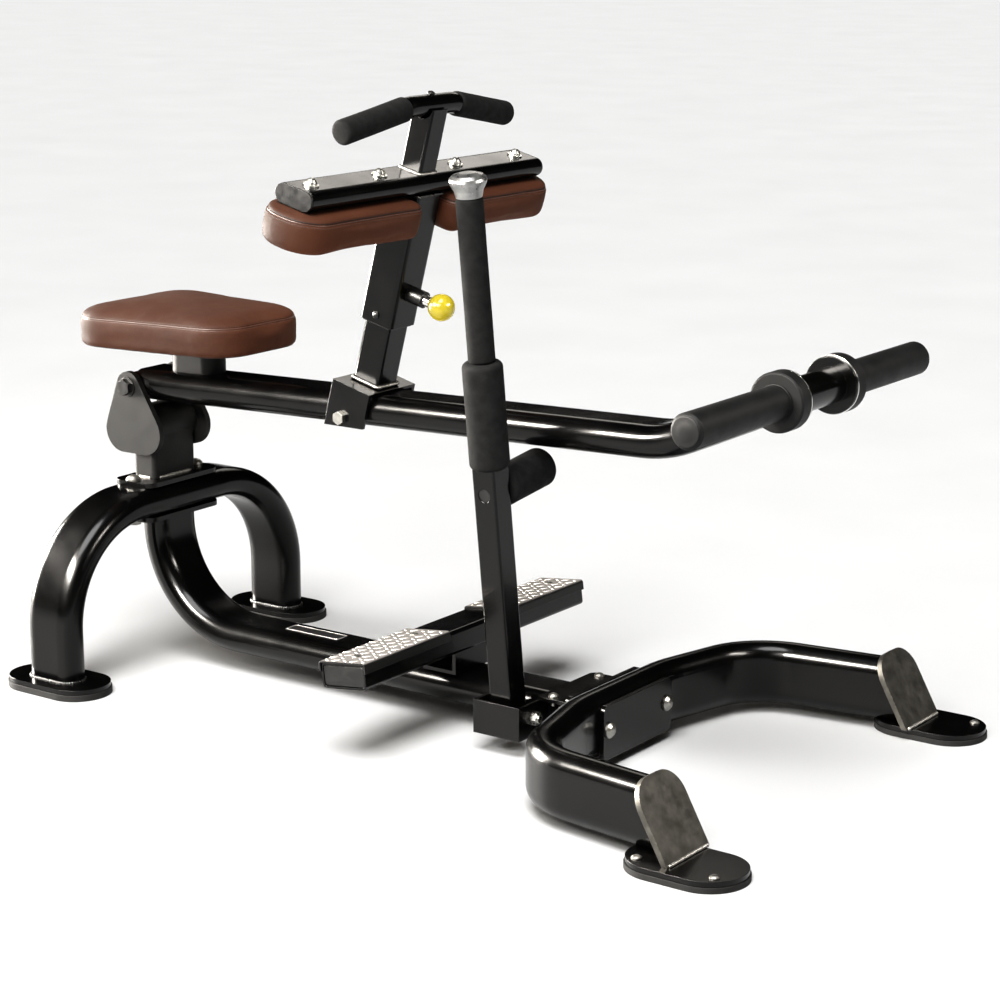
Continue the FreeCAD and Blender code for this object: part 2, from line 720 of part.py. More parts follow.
# vertical flange at the front of the spine, bolted through the bar of the front frame
out(fuse("spine_tube", [spine, bar_plate("front_flange", 261, 196, 94, 56)]))
fb = []
fn = []
for n, k in SIDES:
    fb.append(dome_bolt("front_bolt_" + n, 12, 75, 24, 9, (327, 79 * k, 60), ROT(V(0, 1, 0), 90)))
    fn.append(hex_piece("front_nut_" + n, 19, 9, (252, 79 * k, 60), Z_TO_X, 12))
out(group("frame_bolts", bolts + nuts + fb + fn))

# gusset plate on the spine behind the front flange
b = new_body("front_gusset")
s = new_sketch(b, "Outline")
rounded(s, 66, 150, 10)
for hx in (-12, 20):
    for hy in (-62, 62):
        circle(s, 8.6, None, hx, hy)
pad(b, s, 6)
place(b, (228, 0, 80))
out(b)
gs = []
for hx in (-12, 20):
    for hy in (-62, 62):
        gs.append(dome_bolt("gusset_bolt_%d_%d" % (hx + 20, hy + 62), 8, 14, 16, 6, (228 + hx, hy, 86), ROT()))
out(group("base_screws", screws + gs))

# blank plate on the spine
b = new_body("spine_plate")
s = new_sketch(b, "Outline")
rounded(s, 112, 30, 4)
pad(b, s, 1)
place(b, (-298, 4, 80))
out(b)

# footrest: beam, two folded tread plates and the bracket that carries them
FT = D["footrest_tilt"]
FROT = ROT(V(0, 1, 0), -FT)
FC = V(-9, 0, 152)


def fr(x, y, z):
    p = FROT.multVec(V(x, y, z)) + FC
    return (p.x, p.y, p.z)


b = new_body("footrest_beam")
s = new_sketch(b, "Section", "XZ_Plane")
rounded(s, D["beam_depth"], D["beam_height"], 7, C + "beam_depth", C + "beam_height")
rounded(s, D["beam_depth"] - 6, D["beam_height"] - 6, 4, C + "beam_depth - 6", C + "beam_height - 6")
pad(b, s, D["beam_length"], C + "beam_length", mid=True)
place(b, fr(0, 0, -D["beam_height"] / 2.0), FROT)
out(b)
tr = []
for n, k in SIDES:
    b = new_body("tread_" + n)
    s = new_sketch(b, "Section", "XZ_Plane")
    w = D["tread_depth"] / 2.0
    t = D["tread_thick"]
    sk = D["tread_skirt"]
    ro, ri = 5.0, 2.0
    l = [line(s, (-w, t - sk), (-w, t - ro)), None, line(s, (-w + ro, t), (w - ro, t)), None, line(s, (w, t - ro), (w, t - sk)), line(s, (w, t - sk), (w - t + 0.2, t - sk)), line(s, (w - t + 0.2, t - sk), (w - t + 0.2, 0)), line(s, (w - t + 0.2, 0), (-w + t - 0.2, 0)), line(s, (-w + t - 0.2, 0), (-w + t - 0.2, t - sk)), line(s, (-w + t - 0.2, t - sk), (-w, t - sk))]
    l[1] = arc(s, -w + ro, t - ro, ro, 90, 180)
    l[3] = arc(s, w - ro, t - ro, ro, 0, 90)
    con(s, "Tangent", l[0], 2, l[1], 2)
    con(s, "Tangent", l[1], 1, l[2], 1)
    con(s, "Tangent", l[2], 2, l[3], 2)
    con(s, "Tangent", l[3], 1, l[4], 1)
    for a_, b_ in ((4, 5), (5, 6), (6, 7), (7, 8), (8, 9)):
        con(s, "Coincident", l[a_], 2, l[b_], 1)
    con(s, "Coincident", l[9], 2, l[0], 1)
    con(s, "Radius", l[1], ro)
    con(s, "Radius", l[3], ro)
    con(s, "Horizontal", l[2])
    for i in (0, 4, 6, 8):
        con(s, "Vertical", l[i])
    con(s, "Horizontal", l[5])
    con(s, "Horizontal", l[9])
    xy(s, l[0], 1, -w, t - sk, C + "tread_depth / 2", C + "tread_skirt - " + C + "tread_thick")
    i = con(s, "DistanceX", -1, 1, l[4], 2, w)
    bound(s, i, C + "tread_depth / 2")
    i = con(s, "DistanceY", -1, 1, l[2], 1, t)
    bound(s, i, C + "tread_thick")
    xy(s, l[7], 1, w - t + 0.2, 0)
    xy(s, l[7], 2, -w + t - 0.2, 0)
    pad(b, s, D["tread_length"], C + "tread_length", mid=True)
    place(b, fr(0, k * (286 - D["tread_length"] / 2.0), 0.1), FROT)
    tr.append(b)
out(group("tread_plates", tr))
base = box("bracket_block", (64, 96, 60), (-41, -48, 80))
out(cut("footrest_bracket", base, [box("bracket_top", (200, 200, 80), fr(-100, -100, -D["beam_height"]), FROT), box("bracket_inside", (52, 110, 50), (-35, -55, 86))]))
sc = []
for n, k in SIDES:
    for j, yy in enumerate((110, 250)):
        sc.append(dome_bolt("tread_screw_%s_%d" % (n, j), 6, 6, 13, 3.2, fr(0, k * yy, 3.1), FROT))
out(group("tread_screws", sc))

# pivot box of the safety post, welded to the right flank of the spine
SBX0, SBX1 = 114.0, 198.0
SY, SPZ = -88.0, 56.0
b = new_body("safety_box")
s = new_sketch(b, "Section")
polygon(s, [(SBX0, -49.9), (SBX0, -126), (SBX1, -126), (SBX1, -49.9), (SBX1 - 5, -49.9), (SBX1 - 5, -121), (SBX0 + 5, -121), (SBX0 + 5, -49.9)])
pad(b, s, 52)
place(b, (0, 0, 28))
out(cut("safety_box_walls", b, [cyl("safety_box_bore", 12.4, 120, (100, SY, SPZ), Z_TO_X)]), "safety_box_walls")
h1 = hex_piece("safety_bolt_head", 19, 8, (SBX0 - 8, SY, SPZ), Z_TO_X)
h2 = cyl("safety_bolt_shank", 12, 100, (SBX0 - 4, SY, SPZ), Z_TO_X)
out(group("safety_fasteners", [fuse("safety_bolt", [h1, h2]), hex_piece("safety_nut", 19, 9, (SBX1, SY, SPZ), Z_TO_X, 12)]))

# ================================================================= lever
LA = math.radians(D["lever_rise"])


def lever_z(x):
    return PZ + 0.5 + math.tan(LA) * (x - PX)


HUBX, HUBZ = 599.0, 584.0
BX = 385.0
tube = swept("lever_blank", [(PX, lever_z(PX)), (BX, lever_z(BX)), (HUBX, HUBZ)], [D["lever_bend"]], "oval", "XZ", 0, rexpr=C + "lever_bend")
lever_cut = (cut("lever_run", tube, [cyl("lever_rear_cope", D["pivot_tube_dia"], 140, (PX, -70, PZ), TO_Y, C + "pivot_tube_dia"), cyl("lever_front_cope", D["hub_dia"], 140, (HUBX, -70, HUBZ), TO_Y, C + "hub_dia"), box("lever_rear_trim", (60, 140, 90), (PX - 60, -70, PZ - 40)), cyl("lever_saddle_bore", 12.4, 140, (-190, -70, 462), TO_Y)]))
b = new_body("lever_pivot_tube")
s = new_sketch(b, "Ring")
circle(s, D["pivot_tube_dia"], C + "pivot_tube_dia")
circle(s, D["bush_outer"], C + "bush_outer")
pad(b, s, D["pivot_tube_length"], C + "pivot_tube_length", mid=True)
place(b, (PX, 0, PZ), TO_Y)
out(fuse("lever_tube", [lever_cut, b]))
pbs = []
for n, k in SIDES:
    b = new_body("pivot_bush_" + n)
    s = new_sketch(b, "Profile")
    rb, ro = D["bush_bore"] / 2.0, D["bush_outer"] / 2.0
    ids = polygon(s, [(0, rb), (38.5, rb), (38.5, 20), (35, 20), (35, ro), (0, ro)])
    revolve(b, s)
    place(b, (PX, k * 13, PZ), X_TO_Y if k > 0 else X_TO_NEG_Y)
    pbs.append(b)
out(group("pivot_bushes", pbs))

# horn bar across the front of the lever, with flanges, washers, rubber collars and sleeves
HR = D["horn_reach"]
cr = D["collar_dia"] / 2.0
sr = D["sleeve_dia"] / 2.0
hub = D["hub_dia"] / 2.0
core = D["horn_core"] / 2.0
out(turned("horn_bar", [(-HR + 10, 0), (-HR + 10, core), (-66, core), (-66, cr - 1), (-63, cr - 1), (-62, cr - 2), (-62, hub), (62, hub), (62, cr - 2), (63, cr - 1), (66, cr - 1), (66, core), (HR - 10, core), (HR - 10, 0)], (HUBX, 0, HUBZ), X_TO_Y))
hw_, hc_ = [], []
for n, k in SIDES:
    R = X_TO_Y if k > 0 else X_TO_NEG_Y
    hw_.append(turned("horn_washer_" + n, [(66, core), (66, cr), (68, cr), (68, core)], (HUBX, 0, HUBZ), R))
    ce = 68 + D["collar_thick"]
    hc_.append(turned("horn_collar_" + n, [(68, core), (68, cr), (ce - 2.5, cr), (ce, cr - 2.5), (ce, core)], (HUBX, 0, HUBZ), R))
    out(turned("weight_sleeve_" + n, [(ce, core), (ce, sr), (HR - 5, sr), (HR - 1.5, sr - 3), (HR, sr - 8), (HR, 0), (HR - 9.8, 0), (HR - 9.8, core)], (HUBX, 0, HUBZ), R))

out(group("horn_washers", hw_))
out(group("horn_collars", hc_))

# seat on a short flat-oval post
b = new_body("seat_post_body")
s = new_sketch(b, "Section")
stadium(s, D["tube_wide"], D["tube_thick"], C + "tube_wide", C + "tube_thick", "x")
stadium(s, D["tube_wide"] - 6, D["tube_thick"] - 6, C + "tube_wide - 6", C + "tube_thick - 6", "x")
pad(b, s, 60)
place(b, (-536, 0, 470))
slab = box("seat_post_cope", (400, 140, 50), (PX - 20, -70, lever_z(PX - 20) + 25.0 - 50.0), ROT(V(0, 1, 0), -D["lever_rise"]))
seat_cut = (cut("seat_post_section", b, [slab]))
b = new_body("seat_mount_plate")
s = new_sketch(b, "Outline")
rounded(s, 190, 130, 12)
for hx in (-78, 78):
    for hy in (-48, 48):
        circle(s, 8.6, None, hx, hy)
pad(b, s, 5)
place(b, (-536, 0, 530))
out(fuse("seat_post", [seat_cut, b]))


def seat_outline(s, grow):
    """Rounded trapezoid, narrow at the front; the sketch origin is the middle of its length."""
    L = D["seat_length"] / 2.0 + grow
    f = D["seat_front"] / 2.0 + grow
    r_ = D["seat_rear"] / 2.0 + grow
    pts = [(-L, -r_), (L, -f), (L, f), (-L, r_)]
    rad = [48, 34, 34, 48]
    n = 4
    seg = []
    for i in range(n):
        p = V(pts[i][0], pts[i][1], 0)
        a = V(pts[i - 1][0], pts[i - 1][1], 0)
        c = V(pts[(i + 1) % n][0], pts[(i + 1) % n][1], 0)
        u = a.sub(p)
        u.normalize()
        w = c.sub(p)
        w.normalize()
        half = u.getAngle(w) / 2.0
        t = rad[i] / math.tan(half)
        bis = u + w
        bis.normalize()
        seg.append((p + u * t, p + bis * (rad[i] / math.sin(half)), p + w * t, p + bis * (rad[i] / math.sin(half) - rad[i])))
    ids = []
    for i in range(n):
        g = s.addGeometry(Part.Arc(seg[i][0], seg[i][3], seg[i][2]), False)
        st = s.Geometry[g].StartPoint
        ids.append((g, (1, 2) if st.distanceToPoint(seg[i][0]) < 1e-6 else (2, 1)))
    lid = []
    for i in range(n):
        a, c = seg[i][2], seg[(i + 1) % n][0]
        lid.append(line(s, (a.x, a.y), (c.x, c.y)))
    for i in range(n):
        con(s, "Tangent", ids[i][0], ids[i][1][1], lid[i], 1)
        con(s, "Tangent", lid[i], 2, ids[(i + 1) % n][0], ids[(i + 1) % n][1][0])
    for i in range(n):
        con(s, "Radius", ids[i][0], rad[i])
    for i in (1, 3):
        con(s, "Vertical", lid[i])
    xy(s, lid[1], 1, L, seg[1][2].y, C + "seat_length / 2 + %g" % grow)
    xy(s, lid[3], 1, -L, seg[3][2].y, C + "seat_length / 2 + %g" % grow)
    con(s, "DistanceY", -1, 1, lid[1], 2, seg[2][0].y)
    con(s, "DistanceY", lid[3], 2, -1, 1, -seg[0][0].y)


SEAT_X = -544.5
b = new_body("seat_board")
s = new_sketch(b, "Outline")
seat_outline(s, -14)
pad(b, s, 8)
place(b, (SEAT_X, 0, 535))
out(b)
b = new_body("seat_pad")
s = new_sketch(b, "Outline")
seat_outline(s, 0)
pad(b, s, D["seat_thick"], C + "seat_thick")
place(b, (SEAT_X, 0, 543))
out(b)
out(group("seat_screws", [dome_bolt("seat_screw_%d_%d" % (i, j), 8, 12, 15, 4.5, (-536 + 78 * i, 48 * j, 530), ROT(V(1, 0, 0), 180)) for i in (-1, 1) for j in (-1, 1)]))

# ---- leaning post of the knee pads: local p forward across the post, s along it
TH = math.radians(D["post_lean"])
OX, OZ = -172.4, 495.0
PROT = ROT(V(0, 1, 0), D["post_lean"])


def ps(p, y, s_):
    return (OX + p * math.cos(TH) + s_ * math.sin(TH), y, OZ - p * math.sin(TH) + s_ * math.cos(TH))


# saddle: bent plate over the lever, its top square to the post
shell = box("saddle_outer", (74, 116, 80), ps(-38, -58, -62), PROT)
inner = box("saddle_inner", (90, 104, 90), ps(-46, -52, -79), PROT)
foot = box("saddle_foot", (200, 200, 60), (-300, -100, 388))
relief = box("saddle_relief", (600, 102, 50), (PX - 20, -51, lever_z(PX - 20) + 25.0 - 50.0), ROT(V(0, 1, 0), -D["lever_rise"]))
out(cut("saddle_bracket", shell, [inner, foot, relief, cyl("saddle_bore", 12.4, 140, (-190, -70, 462), TO_Y)]))
q1 = hex_piece("saddle_bolt_head", 19, 8, (-190, -58, 462), TO_NEG_Y)
q2 = cyl("saddle_bolt_shank", 12, 130, (-190, -58, 462), TO_Y)
out(group("saddle_fasteners", [fuse("saddle_bolt", [q1, q2]), hex_piece("saddle_nut", 19, 10, (-190, 58, 462), TO_Y, 12)]))
TOP_IN = 275.0
b = new_body("inner_post_body")
s = new_sketch(b, "Section")
rounded(s, D["inner_tube"], D["inner_tube"], 6, C + "inner_tube", C + "inner_tube")
rounded(s, D["inner_tube"] - 6, D["inner_tube"] - 6, 3, C + "inner_tube - 6", C + "inner_tube - 6")
pad(b, s, TOP_IN - 18)
place(b, ps(0, 0, 18), PROT)
PIN_S = 176.0
tools = []
for i in range(-2, 5):
    tools.append(cyl("height_hole_%d" % (i + 2), D["pin_hole"], 16, ps(14, 0, PIN_S + D["hole_pitch"] * i), PROT.multiply(Z_TO_X), C + "pin_hole"))
out(cut("inner_post", b, tools))

# ================================================================= knee-pad carriage
S0 = 121.0
S_X = 350.0
half_x = D["cross_thick"] / 2.0
b = new_body("outer_sleeve_body")
s = new_sketch(b, "Section")
rounded(s, D["outer_tube"], D["outer_tube"], 9, C + "outer_tube", C + "outer_tube")
rounded(s, D["outer_tube"] - 8, D["outer_tube"] - 8, 5, C + "outer_tube - 2 * " + C + "outer_wall", C + "outer_tube - 2 * " + C + "outer_wall")
pad(b, s, S_X - half_x - S0)
place(b, ps(0, 0, S0), PROT)
out(cut("outer_sleeve", b, [cyl("sleeve_pin_bore", 18.4, 20, ps(20, 0, PIN_S), PROT.multiply(Z_TO_X)), cyl("sleeve_screw_bore", 6.2, 10, ps(0, -24, 134), PROT.multiply(TO_NEG_Y))]))
lin = []
for nm, s_, ln in (("lower", S0 - 3, 38), ("upper", 196, 40)):
    b = new_body("liner_" + nm)
    s = new_sketch(b, "Section")
    rounded(s, 56.9, 56.9, 4.9)
    rounded(s, 50.6, 50.6, 6.3)
    pad(b, s, ln)
    place(b, ps(0, 0, s_), PROT)
    if nm == "lower":
        lin.append(cut("liner_lower_ring", b, [cyl("liner_screw_bore", 6.2, 10, ps(0, -24, 134), PROT.multiply(TO_NEG_Y))]))
    else:
        lin.append(b)
out(group("sleeve_liners", lin))
cscrews = [dome_bolt("stop_screw", 6, 6.5, 12, 4, ps(0, -32.5, 134), PROT.multiply(RX90))]

# cross tube, flat-oval lying with its wide side across the post
b = new_body("cross_tube_body")
s = new_sketch(b, "Section", "XZ_Plane")
stadium(s, D["cross_wide"], D["cross_thick"], C + "cross_wide", C + "cross_thick", "x")
stadium(s, D["cross_wide"] - 6, D["cross_thick"] - 6, C + "cross_wide - 6", C + "cross_thick - 6", "x")
pad(b, s, D["cross_length"], C + "cross_length", mid=True)
place(b, ps(0, 0, S_X), PROT)
BY = (94.0, 252.0)
tools = []
for n, k in SIDES:
    for j, yy in enumerate(BY):
        tools.append(cyl("cross_bore_%s_%d" % (n, j), 10.5, 60, ps(0, k * yy, S_X - 30), PROT))
out(cut("cross_tube", b, tools))
caps = []
for n, k in SIDES:
    b = new_body("cross_cap_" + n)
    s = new_sketch(b, "Outline", "XZ_Plane")
    stadium(s, D["cross_wide"] - 1, D["cross_thick"] - 1, C + "cross_wide - 1", C + "cross_thick - 1", "x")
    pad(b, s, 4, rev=(k > 0))
    s2 = new_sketch(b, "Plug", "XZ_Plane")
    stadium(s2, D["cross_wide"] - 6.4, D["cross_thick"] - 6.4, C + "cross_wide - 6.4", C + "cross_thick - 6.4", "x")
    pad(b, s2, 12, rev=(k < 0), name="PlugPad")
    place(b, ps(0, k * D["cross_length"] / 2.0, S_X), PROT)
    caps.append(b)
out(group("cross_tube_caps", caps))
KT = D["knee_pad_thick"]
KL = D["knee_pad_length"]
KD = D["knee_pad_depth"]
KIN = 36.0
pb = []
kb = []
for n, k in SIDES:
    b = new_body("knee_board_" + n)
    s = new_sketch(b, "Outline")
    rounded(s, 90, KL - 30, 20, None, C + "knee_pad_length - 30")
    for j, yy in enumerate(BY):
        circle(s, 10.5, None, 0, k * (yy - (KIN + KL / 2.0)))
    pad(b, s, 8)
    place(b, ps(0, k * (KIN + KL / 2.0), S_X - half_x - 8), PROT)
    kb.append(b)
    b = new_body("knee_pad_" + n)
    s = new_sketch(b, "Outline")
    R1, r1 = 52.0, 16.0
    hw = KD / 2.0
    y0, y1 = (-KL / 2.0, KL / 2.0)
    yi, yo = (y0, y1) if k > 0 else (y1, y0)
    sg = 1 if k > 0 else -1
    # outline: square-ish inner end, round outer end
    i0 = line(s, (-hw + r1, yi), (hw - r1, yi))
    i1 = arc(s, hw - r1, yi + sg * r1, r1, -90 if sg > 0 else 0, 0 if sg > 0 else 90)
    i2 = line(s, (hw, yi + sg * r1), (hw, yo - sg * R1))
    i3 = arc(s, hw - R1, yo - sg * R1, R1, 0 if sg > 0 else -90, 90 if sg > 0 else 0)
    i4 = line(s, (hw - R1, yo), (-hw + R1, yo))
    i5 = arc(s, -hw + R1, yo - sg * R1, R1, 90 if sg > 0 else 180, 180 if sg > 0 else 270)
    i6 = line(s, (-hw, yo - sg * R1), (-hw, yi + sg * r1))
    i7 = arc(s, -hw + r1, yi + sg * r1, r1, 180 if sg > 0 else 90, 270 if sg > 0 else 180)
    p = (1, 2) if sg > 0 else (2, 1)
    con(s, "Tangent", i0, 2, i1, p[0])
    con(s, "Tangent", i1, p[1], i2, 1)
    con(s, "Tangent", i2, 2, i3, p[0])
    con(s, "Tangent", i3, p[1], i4, 1)
    con(s, "Tangent", i4, 2, i5, p[0])
    con(s, "Tangent", i5, p[1], i6, 1)
    con(s, "Tangent", i6, 2, i7, p[0])
    con(s, "Tangent", i7, p[1], i0, 1)
    con(s, "Radius", i1, r1)
    con(s, "Radius", i7, r1)
    con(s, "Radius", i3, R1)
    con(s, "Radius", i5, R1)
    con(s, "Horizontal", i0)
    con(s, "Vertical", i2)
    con(s, "Vertical", i6)
    xy(s, i2, 1, hw, yi + sg * r1, C + "knee_pad_depth / 2")
    con(s, "DistanceX", i6, 1, -1, 1, hw)
    con(s, "DistanceY", *((i4, 1, -1, 1, -yo) if yo < 0 else (-1, 1, i4, 1, yo)))
    pad(b, s, KT, C + "knee_pad_thick")
    place(b, ps(2, k * (KIN + KL / 2.0), S_X - half_x - 8 - KT), PROT)
    out(b)
    for j, yy in enumerate(BY):
        pb.append(dome_bolt("knee_bolt_%s_%d" % (n, j), 10, 37, 17, 9, ps(0, k * yy, S_X + half_x + 2), PROT))
out(group("knee_boards", kb))
out(group("knee_pad_bolts", pb + [cut("knee_washer_%s_%d" % (n, j), cyl("knee_washer_disc_%s_%d" % (n, j), 24, 2, ps(0, k * yy, S_X + half_x), PROT), [cyl("knee_washer_hole_%s_%d" % (n, j), 10.2, 6, ps(0, k * yy, S_X + half_x - 2), PROT)]) for n, k in SIDES for j, yy in enumerate(BY)]))

# upper post and handle bar
S_H = 465.0
b = new_body("upper_post_body")
s = new_sketch(b, "Section")
rounded(s, 40, 40, 5)
rounded(s, 34, 34, 3)
pad(b, s, S_H - S_X - half_x)
place(b, ps(0, 0, S_X + half_x), PROT)
hc = ps(0, 0, S_H)
out(cut("upper_post", b, [cyl("upper_post_cope", D["handle_dia"] + 4, 80, (hc[0], -40, hc[2]), TO_Y)]))
# the bar lies in a plane that runs back and down at its ends
sweep_back, drop = 7.6, 26.0
HB = math.degrees(math.atan2(drop, sweep_back))
ends = math.hypot(sweep_back, drop) / 146.0
yend = 196.0
off = (yend - 30) * ends
bar = swept("handle_blank", [(-yend, -off), (-30 - 20, -20 * ends), (30 + 20, -20 * ends), (yend, -off)], [60, 60], "round", "XY", 0, wide="handle_dia")
m = bar.Placement.Rotation
# carry the drawing plane: drawing x -> world Y, drawing y -> up and forward along the slant
ux = V(0, 1, 0)
uy = V(sweep_back, 0, drop)
uy.normalize()
uz = ux.cross(uy)
frame_rot = ROT(ux, uy, uz, "XYZ")
p0 = frame_rot.multVec(V(-yend, -off, 0))
bar.Placement = PL(V(hc[0] + p0.x, p0.y, hc[2] + 5 + p0.z), frame_rot.multiply(m))
out(bar, "handle_bar")
grips = []
th = math.atan2(off - 20 * ends, yend - 50)
for n, k in SIDES:
    d = frame_rot.multVec(V(k * math.cos(th), -math.sin(th), 0))
    e = frame_rot.multVec(V(k * yend, -off, 0))
    R = ROT(V(1, 0, 0), d)
    L = 146.0
    hb = D["handle_dia"] / 2.0
    gr = D["grip_dia"] / 2.0
    start = V(hc[0] + e.x, e.y, hc[2] + 5 + e.z) - d * (L - 8)
    grips.append(turned("hand_grip_" + n, [(0, hb + 0.02), (0, gr - 1), (1, gr), (L - 12, gr), (L - 5, gr - 3), (L - 1, gr - 9), (L, gr - 15), (L, 0), (L - 7.8, 0), (L - 7.8, hb + 0.02)], (start.x, start.y, start.z), R))
out(group("hand_grips", grips))
hs = ps(0, 0, S_H)
cscrews.append(dome_bolt("handle_screw", 6, 3, 12, 4, (hs[0] + 0.4, 0, hs[2] + 5 + D["handle_dia"] / 2.0 - 2.6), PROT))

out(group("carriage_screws", cscrews))

# plunger barrel on the front of the sleeve
b = new_body("plunger_barrel")
s = new_sketch(b, "Ring")
circle(s, D["barrel_dia"], C + "barrel_dia")
circle(s, 18.4)
pad(b, s, 29)
place(b, ps(32.5, 0, PIN_S), PROT.multiply(Z_TO_X))
out(b)

# ================================================================= plunger
pr = D["pin_dia"] / 2.0
out(turned("plunger_pin", [(26.4, 0), (26.4, pr - 1), (27.4, pr), (44, pr), (44, 9), (74, 9), (74, 6), (84, 6), (84, 0)], ps(0, 0, PIN_S), PROT))
ballr = D["ball_dia"] / 2.0
b = new_body("ball_knob_blank")
s = new_sketch(b, "Profile")
pc = 94.0
flat = math.sqrt(ballr ** 2 - 9.0 ** 2)
a_flat = math.degrees(math.atan2(9.0, -flat))
g0 = arc(s, pc, 0, ballr, 0, a_flat)
g1 = line(s, (pc - flat, 9), (pc - flat, 0))
g2 = line(s, (pc - flat, 0), (pc + ballr, 0))
con(s, "Coincident", g0, 2, g1, 1)
con(s, "Coincident", g1, 2, g2, 1)
con(s, "Coincident", g2, 2, g0, 1)
con(s, "PointOnObject", g0, 3, -1)
con(s, "Vertical", g1)
con(s, "Horizontal", g2)
bound(s, con(s, "Radius", g0, ballr), C + "ball_dia / 2")
con(s, "DistanceX", -1, 1, g0, 3, pc)
con(s, "DistanceY", g1, 2, g1, 1, 9)
con(s, "PointOnObject", g2, 1, -1)
revolve(b, s)
place(b, ps(0, 0, PIN_S), PROT)
out(cut("ball_knob", b, [cyl("knob_socket", 12.04, 12, ps(73, 0, PIN_S), PROT.multiply(Z_TO_X)), cyl("knob_seat", 18.2, 2.4, ps(72, 0, PIN_S), PROT.multiply(Z_TO_X))]))

# ================================================================= safety post
SA = math.radians(D["safety_lean"])
SROT = ROT(V(1, 0, 0), D["safety_lean"])      # turns +Z towards -Y
SXC = 153.0
PEG_S = 352.0


def sf(x, y, z):
    """Safety frame: origin at the pivot, z up the post, y inward to the lever."""
    p = SROT.multVec(V(x, y, z))
    return (SXC + p.x, SY + p.y, SPZ + p.z)


b = new_body("safety_post_body")
s = new_sketch(b, "Section")
rounded(s, D["safety_square"], D["safety_square"], 4, C + "safety_square", C + "safety_square")
rounded(s, D["safety_square"] - 6, D["safety_square"] - 6, 2, C + "safety_square - 6", C + "safety_square - 6")
pad(b, s, 470)
place(b, sf(0, 0, -18), SROT)
safety_cut = (cut("safety_post_section", b, [cyl("safety_post_bore", 18, 60, sf(-30, 0, 0), Z_TO_X), cyl("safety_peg_bore", 20.4, 60, sf(0, -30, PEG_S), SROT.multiply(TO_Y))]))
b = new_body("safety_bush")
s = new_sketch(b, "Ring")
circle(s, 18)
circle(s, 12.12)
pad(b, s, 72, mid=True)
place(b, (SXC + 3, SY, SPZ), Z_TO_X)
out(b)
# round upper stem, its plug in the head of the square post
stem1 = cut("stem_tube", cyl("stem_round", 28, 345, sf(0, 0, 452), SROT), [cyl("stem_inside", 22, 340, sf(0, 0, 458), SROT)])
stem2 = box("stem_plug", (33.6, 33.6, 30), sf(-16.8, -16.8, 420), SROT)
out(fuse("safety_post", [safety_cut, stem1, stem2]))
# foam bumper round the head of the post
b = new_body("bumper_body")
s = new_sketch(b, "Ring")
circle(s, D["bumper_dia"], C + "bumper_dia")
rounded(s, D["safety_square"] + 0.4, D["safety_square"] + 0.4, 4, C + "safety_square + 0.4", C + "safety_square + 0.4")
pad(b, s, 62)
place(b, sf(0, 0, 390), SROT)
bl = b
b = new_body("bumper_top_body")
s = new_sketch(b, "Ring")
circle(s, D["bumper_dia"], C + "bumper_dia")
circle(s, 28.1)
pad(b, s, 98)
place(b, sf(0, 0, 452), SROT)
out(fuse("safety_bumper", [bl, b]))
out(turned("safety_grip", [(0, 14.05), (0, 20), (241, 20), (241, 14.05)], sf(0, 0, 550), SROT.multiply(X_TO_Z)))
out(turned("safety_cap", [(0, 14.05), (0, 19), (10, 21), (20, 26.5), (24, 27.5), (28, 26.5), (32, 22), (35, 12), (36, 0), (6.1, 0), (6.1, 14.05)], sf(0, 0, 791), SROT.multiply(X_TO_Z)))
# peg under the lever
out(turned("safety_peg", [(-19, 0), (-19, 10.2), (-15, 10.2), (-15, 10), (126, 10), (126, 0)], sf(0, 0, PEG_S), SROT.multiply(X_TO_Y)))
out(turned("peg_foam", [(20.3, 10.05), (20.3, 28), (22.3, 30), (117, 30), (125, 26.5), (128, 19), (128, 0), (126.1, 0), (126.1, 10.05)], sf(0, 0, PEG_S), SROT.multiply(X_TO_Y)))

# ================================================================= recompute, test, export
doc.recompute()
bad = []
for o in doc.Objects:
    st = [x for x in o.State if x in ("Invalid", "Error")]
    if st:
        bad.append((o.Name, st))
if bad:
    raise RuntimeError("objects not built: %s" % bad)
for o in OUT:
    sh = o.Shape
    if sh.isNull() or not sh.isValid() or not sh.Solids:
        raise RuntimeError("bad shape: " + o.Label)
    sh.exportStep("parts/%s.step" % o.Label)
print("parts:", len(OUT))
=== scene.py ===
import bpy
import bmesh
import math
from mathutils import Matrix, Vector, noise
from mathutils.bvhtree import BVHTree


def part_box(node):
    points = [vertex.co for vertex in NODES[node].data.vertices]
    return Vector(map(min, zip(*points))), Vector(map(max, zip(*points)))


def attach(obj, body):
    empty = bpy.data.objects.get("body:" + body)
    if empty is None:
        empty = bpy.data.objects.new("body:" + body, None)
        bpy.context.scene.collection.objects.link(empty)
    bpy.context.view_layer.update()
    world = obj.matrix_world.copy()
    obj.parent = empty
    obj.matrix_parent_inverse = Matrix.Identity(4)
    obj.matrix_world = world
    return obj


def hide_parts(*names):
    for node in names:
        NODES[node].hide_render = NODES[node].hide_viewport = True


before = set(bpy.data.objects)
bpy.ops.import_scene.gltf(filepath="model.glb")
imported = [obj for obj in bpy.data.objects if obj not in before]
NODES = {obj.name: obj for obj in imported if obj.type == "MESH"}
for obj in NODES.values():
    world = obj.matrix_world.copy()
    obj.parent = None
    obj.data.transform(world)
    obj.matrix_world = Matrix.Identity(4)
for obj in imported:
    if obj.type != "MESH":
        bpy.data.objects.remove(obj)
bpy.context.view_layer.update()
scene = bpy.context.scene


